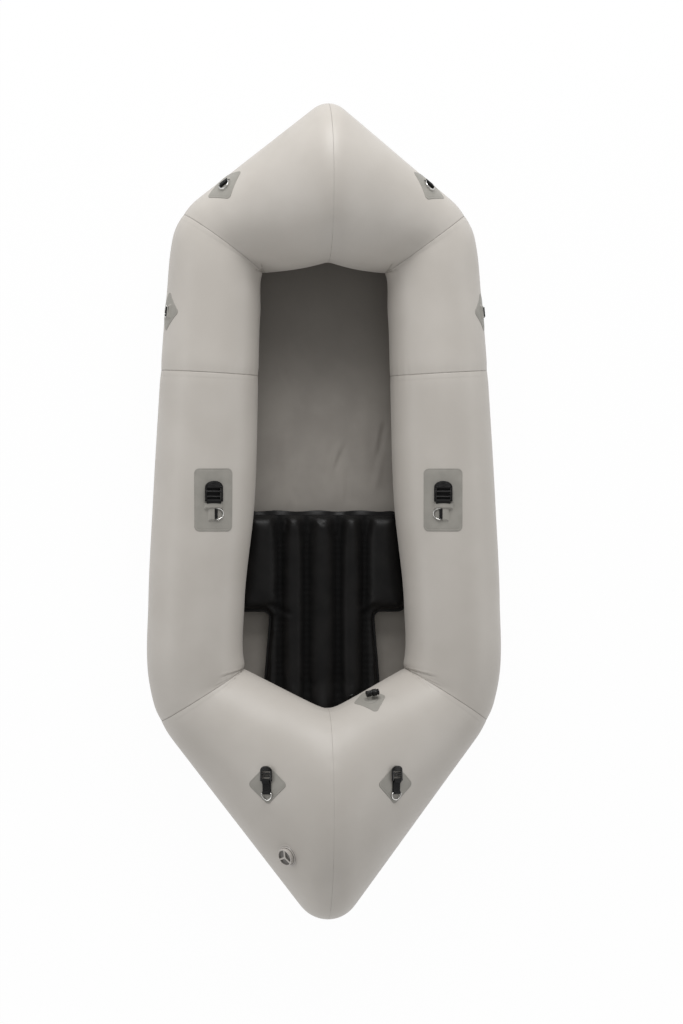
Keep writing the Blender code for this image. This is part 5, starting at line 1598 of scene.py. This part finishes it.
SEAT_PUCKER = 0.0005
SEAT_PUCKER_PITCH = 0.019
SEAT_PUCKER_REACH = 0.016
VALLEY_WELD = 0.0008
VALLEY_WELD_WIDTH = 0.0035
SLACK = 0.0011
SEAT_BLACK = (0.0050, 0.0048, 0.0048)
SEAT_DUSTY = (0.0085, 0.0080, 0.0078)
VALLEY_SHADE = (0.001, 0.001, 0.001)
SEAT_FOLDS = (
    Crease(-0.149, -0.246, -0.082, -0.275, -0.0045, 0.0085),
    Crease(-0.128, -0.215, -0.105, -0.262, 0.0024, 0.0110),
    Crease(0.152, -0.244, 0.104, -0.280, -0.0044, 0.0085),
    Crease(0.128, -0.205, 0.120, -0.258, 0.0030, 0.0100),
    Crease(-0.012, -0.018, 0.004, -0.040, -0.0015, 0.0060),
    Crease(-0.040, -0.020, -0.034, -0.056, -0.0018, 0.0060),
    Crease(0.050, -0.018, 0.047, -0.062, -0.0028, 0.0060),
    Crease(0.128, -0.020, 0.120, -0.058, -0.0026, 0.0060),
    Crease(-0.094, -0.022, -0.100, -0.052, -0.0030, 0.0055),
)


def inner_breadth(forward):
    """Half the breadth between the side tubes at a distance forward."""
    line = np.array([hull_ring(1 + 2 * k / 120).inner for k in range(121)])[::-1]
    return float(np.interp(forward, line[:, 1], line[:, 0]))


def seat_outline():
    """The T in the plan: ears between the side tubes, and a tail that runs under the stern."""
    ear = SEAT_FRONT - EAR_LENGTH
    corner, tip = hull_ring(3).inner, hull_ring(4).inner
    slope = (corner[1] - tip[1]) / corner[0]
    tail = tip[1] - TAIL_TUCK
    half = [(inner_breadth(SEAT_FRONT) + SIDE_TUCK, SEAT_FRONT),
            (inner_breadth(ear) + SIDE_TUCK, ear), (NECK_WIDTH / 2, ear),
            (TAIL_WIDTH / 2, tail + slope * TAIL_WIDTH / 2)]
    corners = [(-x, y) for x, y in half] + [(0, tail)] + half[::-1]
    wide, neck = CORNER_RADIUS, NECK_RADIUS
    return rounded(corners, (wide, wide, neck, wide, wide, wide, neck, wide, wide))


def hem_level(forward):
    """The height of the seat's hem at distances forward."""
    return floor_top(forward) + FLOOR_CLEARANCE + SEAT_THICKNESS * SEAM_SHARE


def edge_distance(x, y, outline):
    """The distance from plan points to an outline."""
    nearest = np.full(np.shape(x), np.inf)
    for a, b in zip(outline, outline[1:] + outline[:1]):
        run = b - a
        share = ((x - a.x) * run.x + (y - a.y) * run.y) / run.length_squared
        share = np.clip(share, 0, 1)
        nearest = np.minimum(nearest, np.hypot(x - a.x - run.x * share, y - a.y - run.y * share))
    return nearest


def channel_share(x):
    """How full the cushion is across its channels."""
    x = np.abs(x)
    centre, outer = VALLEYS[2], VALLEYS[3]
    beside = 1 - np.clip((x - outer) / OUTER_SHOULDER, 0, 1)
    between = 2 * (x - centre) / (outer - centre) - 1
    rise = np.where(x > outer, beside, np.where(x > centre, between, x / centre))
    return VALLEY_SHARE + (1 - VALLEY_SHARE) * np.cos(np.clip(rise, -1, 1) * math.pi / 2) ** 1.3


def cushion(outline):
    """The cushion before it is blown up: two faces over a plan mesh, joined at the hem."""
    ring = spaced(outline, PLAN_STEP)
    spots = list(inset_ring(ring, HEM))
    xs = [p.x for p in spots]
    ys = [p.y for p in spots]
    for x in np.arange(min(xs), max(xs), PLAN_STEP):
        for y in np.arange(min(ys), max(ys), PLAN_STEP):
            spots.append(Vector((x, y)))
    plan = geometry.delaunay_2d_cdt(spots, [], [list(range(len(ring)))], 1, 1e-6)
    x, y = np.array([tuple(p) for p in plan[0]]).T
    deep = np.maximum(0, edge_distance(x, y, outline) - HEM)
    rise = np.sqrt(1 - (1 - np.minimum(deep / SHOULDER, 1)) ** 2)
    base = floor_top(y) + FLOOR_CLEARANCE
    seam = hem_level(y)
    high = base + SEAT_THICKNESS * channel_share(x) - AIR_SHRINK
    top = seam + np.maximum(HEM_THICKNESS / 2, (high - seam) * rise)
    low = seam - np.maximum(HEM_THICKNESS / 2, (seam - base - AIR_SHRINK / 2) * rise)
    points = np.concatenate((np.stack((x, y, top), 1), np.stack((x, y, low), 1)))
    faces = [tuple(face) for face in plan[2]]
    return new_mesh("seat_cushion", points, two_sided(faces, len(x)))


def coordinates(mesh):
    """The places of a mesh's points, a row each."""
    flat = np.empty(len(mesh.vertices) * 3, np.float32)
    mesh.vertices.foreach_get("co", flat)
    return flat.reshape(-1, 3).astype(float)


def set_coordinates(mesh, points):
    """Moves a mesh's points to the places in a table's rows."""
    mesh.vertices.foreach_set("co", points.astype(np.float32).ravel())
    mesh.update()


def blown_up(thing, held):
    """Fills a cushion with air as simulated cloth, and lets no point move past the cap."""
    group = thing.vertex_groups.new(name="held")
    group.add(np.nonzero(held)[0].tolist(), 1.0, "REPLACE")
    air = thing.modifiers.new("Air", "CLOTH")
    air.settings.use_pressure = True
    air.settings.uniform_pressure_force = AIR_PRESSURE
    air.settings.effector_weights.gravity = 0
    air.settings.vertex_group_mass = "held"
    air.settings.quality = 5
    air.collision_settings.use_collision = False
    air.collision_settings.use_self_collision = False
    air.point_cache.frame_start = 1
    air.point_cache.frame_end = AIR_FRAMES
    before = coordinates(thing.data)
    for frame_number in range(1, AIR_FRAMES + 1):
        bpy.context.scene.frame_set(frame_number)
    graph = bpy.context.evaluated_depsgraph_get()
    blown = coordinates(thing.evaluated_get(graph).to_mesh())
    thing.modifiers.remove(air)
    thing.vertex_groups.clear()
    bpy.context.scene.frame_set(1)
    moved = blown - before
    far = np.linalg.norm(moved, axis=1)
    moved *= (np.minimum(far, AIR_CAP) / np.maximum(far, 1e-9))[:, None]
    set_coordinates(thing.data, before + moved)


# The tubes' walls round the cockpit, without relief, to keep the seat clear of: their arc in
# degrees and their run along the chambers
WALL_ARC = (80, 280)
WALL_RUN = (1.0, 3.99)
wall_angles = np.radians(np.linspace(*WALL_ARC, 61))
wall_places = np.linspace(*WALL_RUN, 220)
wall_points, wall_faces = [], []
for hand in SIDES:
    start = len(wall_points) * len(wall_angles)
    wall_points += [hull_points(hand, place, wall_angles)[0] for place in wall_places]
    for face in grid_faces(len(wall_places), len(wall_angles), closed_across=False):
        wall_faces.append([start + i for i in face[::hand]])
WALL_TREE = BVHTree.FromPolygons(np.concatenate(wall_points).tolist(), wall_faces)


def settled(thing):
    """Moves a piece's points clear of the tubes and up off the floor."""
    points = coordinates(thing.data)
    points[:, 2] = np.maximum(points[:, 2], floor_top(points[:, 1]) + FLOOR_CLEARANCE)
    for i, point in enumerate(points):
        spot, out, _, distance = WALL_TREE.find_nearest(Vector(point))
        clear = (Vector(point) - spot).dot(out)
        if distance < TUBE_NEAR and clear < TUBE_CLEARANCE:
            points[i] = spot + out * TUBE_CLEARANCE
    set_coordinates(thing.data, points)


SEAT_EDGE = seat_outline()
seat_piece = cushion(SEAT_EDGE)
remesh = seat_piece.modifiers.new("Even", "REMESH")
remesh.mode = "VOXEL"
remesh.voxel_size = VOXEL
as_evaluated(seat_piece)
spots = coordinates(seat_piece.data)
to_valley = np.min(np.abs(spots[:, :1] - np.array(VALLEYS)), axis=1)
to_hem = edge_distance(spots[:, 0], spots[:, 1], SEAT_EDGE)
blown_up(seat_piece, (to_valley < HELD_NEAR_VALLEY) | (to_hem < HELD_NEAR_HEM))
smoother = seat_piece.modifiers.new("Smooth", "SUBSURF")
smoother.levels = smoother.render_levels = 1
as_evaluated(seat_piece)

# What the air leaves: puckers beside the welds, the welds' own lines, folds, and a little slack
spots = coordinates(seat_piece.data)
x, y, z = spots.T
seam_level = hem_level(y)
on_top = smooth_share(z - seam_level, 0.0, 0.02)
to_valley = np.min(np.abs(spots[:, :1] - np.array(VALLEYS)), axis=1)
pucker = SEAT_PUCKER * np.sin(y * 2 * math.pi / SEAT_PUCKER_PITCH + np.sin(y * 61) * 1.4)
pucker = pucker * np.exp(-(to_valley / SEAT_PUCKER_REACH) ** 2)
weld = -VALLEY_WELD * np.exp(-(to_valley / VALLEY_WELD_WIDTH) ** 2)
folds = sum(creased(x, y, fold) for fold in SEAT_FOLDS)
slack = SLACK * np.sin(x * 37 + y * 5.3) * np.sin(y * 13 + 1.7 * np.sin(x * 11))
spots[:, 2] += on_top * (pucker + weld + folds + slack)
set_coordinates(seat_piece.data, spots)
settled(seat_piece)
mark_cloth(seat_piece, np.stack((x, y, to_valley), axis=1))


def seat_cloth():
    """The seat's black coated nylon, with painted shade darkening its valleys, which are also
    rougher.
    """
    cloth = Finish("seat fabric")
    across, along = cloth.mark("X"), cloth.mark("Y")
    valley = cloth.mark("Z")
    cloud = cloth.noise(0.05, 3.0)
    grain = cloth.noise(0.0025, 3.0)
    base = cloth.blend(cloud.step(*CLOUD_EDGES), SEAT_BLACK, SEAT_DUSTY)
    deep = 1 - valley.step(0.0, VALLEY_REACH)
    # Painted shade: the base darkens towards each valley's weld
    base = cloth.blend(deep * 0.8, base, VALLEY_SHADE)
    height = woven(along, across, FINE_WEAVE, 0.000018) + grain * 0.00005 + cloud * 0.0008
    return cloth.surface({"Base Color": base, "Roughness": 0.34 + grain * 0.14 + deep * 0.45,
                          "Specular IOR Level": 0.17}, height)


SEAT_FABRIC = seat_cloth()
fitted(seat_piece, SEAT_FABRIC, "seat_fabric", "hull", "seat")

# Seat hem. The welded edge of the cushion, a stiff wavy strip that lifts and curls at the front.
HEM_STEP = 0.0035
HEM_IN = 0.0090
HEM_FRONT = 0.0060
HEM_WAVE = 0.0026
HEM_SHARES = (0.0, 0.25, 0.5, 0.75, 0.92, 1.0)
HEM_DROOP = 0.004
hem_ring = spaced(SEAT_EDGE, HEM_STEP)
count = len(hem_ring)
upper_rows, lower_rows = [], []
for share in HEM_SHARES:
    top_row, low_row = [], []
    for i, spot in enumerate(hem_ring):
        along = (hem_ring[(i + 1) % count] - hem_ring[i - 1]).normalized()
        outward = Vector((along.y, -along.x))
        front = float(smooth_share(spot.y, SEAT_FRONT - 0.030, SEAT_FRONT - 0.002))
        run = i * HEM_STEP
        wave = math.sin(run * 88 + 1.2 * math.sin(run * 31)) * (0.35 + 0.65 * front)
        lip = (HEM_FRONT * (0.75 + 0.25 * math.sin(run * 57)) * front) * share
        here = spot + outward * (lip - HEM_IN * (1 - share))
        seam = float(hem_level(here.y))
        high = seam + HEM_WAVE * wave * share ** 1.5 - HEM_DROOP * front * share
        thick = HEM_THICKNESS / 2 * (1 if share < 1 else 0.45)
        top_row.append((here.x, here.y, high + thick))
        low_row.append((here.x, here.y, high - thick))
    upper_rows.append(top_row)
    lower_rows.append(low_row)
hem_points = [p for row in upper_rows + lower_rows[::-1] for p in row]
hem_faces = grid_faces(2 * len(HEM_SHARES), count, closed_along=True)
hem_piece = new_mesh("seat_hem", hem_points, hem_faces)
settled(hem_piece)
mark_cloth(hem_piece, [(p[0], p[1], 1.0) for p in hem_points])
fitted(hem_piece, SEAT_FABRIC, "seat_fabric", "hull")

# Seat tabs. Short gussets of black tape, welded on the cushion's front corners and on the tubes.
TAB_BACK = -0.033
TAB_FRONT = 0.016
TAB_ROWS = 22
TAB_COLUMNS = 9
TAB_TAPE = 0.0012
TAB_END = 0.0012
TAB_SHORTEST = 0.0018
TAB_BEND = 0.55
TAB_LEAD = 0.005
CORNER_INSET = 0.004
tab_level = float(hem_level(SEAT_FRONT)) + HEM_THICKNESS / 2 + FLOOR_CLEARANCE + TAB_TAPE / 2
corner_x = inner_breadth(SEAT_FRONT) + SIDE_TUCK - CORNER_RADIUS
corner_y = SEAT_FRONT - CORNER_RADIUS
inset_corner = CORNER_RADIUS - CORNER_INSET
for hand, word in SIDES.items():
    sheet_points = []
    for k in range(TAB_ROWS + 1):
        y = TAB_BACK + (TAB_FRONT - TAB_BACK) * k / TAB_ROWS
        wall = HULL_TREE.ray_cast(Vector((0, y, tab_level)), Vector((hand, 0, 0)))[0].x * hand
        rise = min(max(y - corner_y, 0.0), inset_corner * 0.985)
        start = corner_x + math.sqrt(inset_corner ** 2 - rise ** 2)
        beyond = max(0.0, (y - SEAT_FRONT + TAB_LEAD) / (TAB_FRONT - SEAT_FRONT + TAB_LEAD))
        start += (wall - TAB_END - TAB_SHORTEST - start) * beyond ** TAB_BEND
        for x in np.linspace(start, wall - TAB_END, TAB_COLUMNS + 1):
            sheet_points.append((x * hand, y, tab_level))
    high = [(x, y, z + TAB_TAPE / 2) for x, y, z in sheet_points]
    low = [(x, y, z - TAB_TAPE / 2) for x, y, z in sheet_points]
    faces = grid_faces(TAB_ROWS + 1, TAB_COLUMNS + 1, closed_across=False)
    tab = new_mesh(f"seat_tab_{word}_tape", high + low, two_sided(faces, len(high)))
    mark_cloth(tab, high + low)
    fitted(tab, BLACK_TAPE, "webbing", "hull", f"seat_tab_{word}")

# Seat valve. A flat twist valve of black plastic, welded on the cushion's tail.
refinish("seat_valve_base", BLACK_PLASTIC)
refinish("seat_valve_cap", BLACK_PLASTIC)

# Studio. A plain white floor, seen from straight above through a long lens. A broad light stands
# off the bow and weaker ones off the sides and the stern, and the rest comes from all round.
METRES_PER_PIXEL = 0.002663
PICTURE_WIDTH, PICTURE_HEIGHT = 683, 1024
HULL_CENTRE = (324.3, 511.5)
CAMERA_DISTANCE = 20.0
CAMERA_LEAN = math.radians(5.0)
SENSOR_WIDTH = 36.0
EQUATOR = TUBE_DIAMETER / 2
FLOOR_SIZE = 60.0
WHITE_SHARE = 0.97

studio = bpy.context.scene
lens = bpy.data.cameras.new("camera")
camera = bpy.data.objects.new("camera", lens)
studio.collection.objects.link(camera)
studio.camera = camera
lens.sensor_width = SENSOR_WIDTH
lens.lens = SENSOR_WIDTH * CAMERA_DISTANCE / (PICTURE_HEIGHT * METRES_PER_PIXEL)
lens.clip_end = 4 * CAMERA_DISTANCE
camera.rotation_euler = (0, -CAMERA_LEAN, 0)
picture_centre = Vector(((PICTURE_WIDTH / 2 - HULL_CENTRE[0]) * METRES_PER_PIXEL,
                         (HULL_CENTRE[1] - PICTURE_HEIGHT / 2) * METRES_PER_PIXEL, EQUATOR))
camera.location = picture_centre + CAMERA_DISTANCE * Vector(
    (-math.sin(CAMERA_LEAN), 0, math.cos(CAMERA_LEAN)))


def floor_paper():
    """White paper, bright to the eye and to what mirrors it, with the shadow left in."""
    paper = Finish("studio floor")
    seen = paper.node("ShaderNodeLightPath", output=0)
    mirrored = paper.node("ShaderNodeLightPath", output=3)
    white = paper.node("ShaderNodeEmission", {}, {"Color": (1, 1, 1, 1), "Strength": 1.0})
    card = paper.node("ShaderNodeBsdfDiffuse", {}, {"Color": (0.80, 0.80, 0.80, 1)})
    share = paper.node("ShaderNodeMath", {"operation": "MAXIMUM"}, {0: seen, 1: mirrored})
    mixed = paper.node("ShaderNodeMixShader", {}, {0: share * WHITE_SHARE, 1: card, 2: white})
    paper.node("ShaderNodeOutputMaterial", {}, {"Surface": mixed})
    return paper.material


corners = [(x * FLOOR_SIZE / 2, y * FLOOR_SIZE / 2, 0)
           for x, y in ((-1, -1), (1, -1), (1, 1), (-1, 1))]
studio_floor = new_mesh("studio_floor", corners, [(0, 1, 2, 3)], outward=False)
studio_floor.data.materials.append(floor_paper())

Lamp = namedtuple("Lamp", "name place size watts")
LAMPS = (
    Lamp("bow_light", (0.0, 4.763, 2.750), (4.5, 2.4), 255.0),
    Lamp("left_light", (-5.168, 0.0, 1.881), (4.0, 2.0), 70.0),
    Lamp("right_light", (5.168, 0.0, 1.881), (4.0, 2.0), 53.0),
    Lamp("stern_light", (0.0, -5.168, 1.881), (4.0, 2.0), 39.0),
)
for lamp in LAMPS:
    light = bpy.data.lights.new(lamp.name, "AREA")
    light.shape = "RECTANGLE"
    light.size, light.size_y = lamp.size
    light.energy = lamp.watts
    stand = bpy.data.objects.new(lamp.name, light)
    stand.location = lamp.place
    aim = Vector((0, 0, EQUATOR)) - Vector(lamp.place)
    stand.rotation_euler = aim.to_track_quat("-Z", "Y").to_euler()
    studio.collection.objects.link(stand)

ROOM_STRENGTH = 0.465
room = bpy.data.worlds.new("room")
studio.world = room
room.use_nodes = True
room.node_tree.nodes["Background"].inputs["Color"].default_value = (1.0, 1.0, 1.0, 1)
room.node_tree.nodes["Background"].inputs["Strength"].default_value = ROOM_STRENGTH
studio.view_settings.view_transform = "Standard"
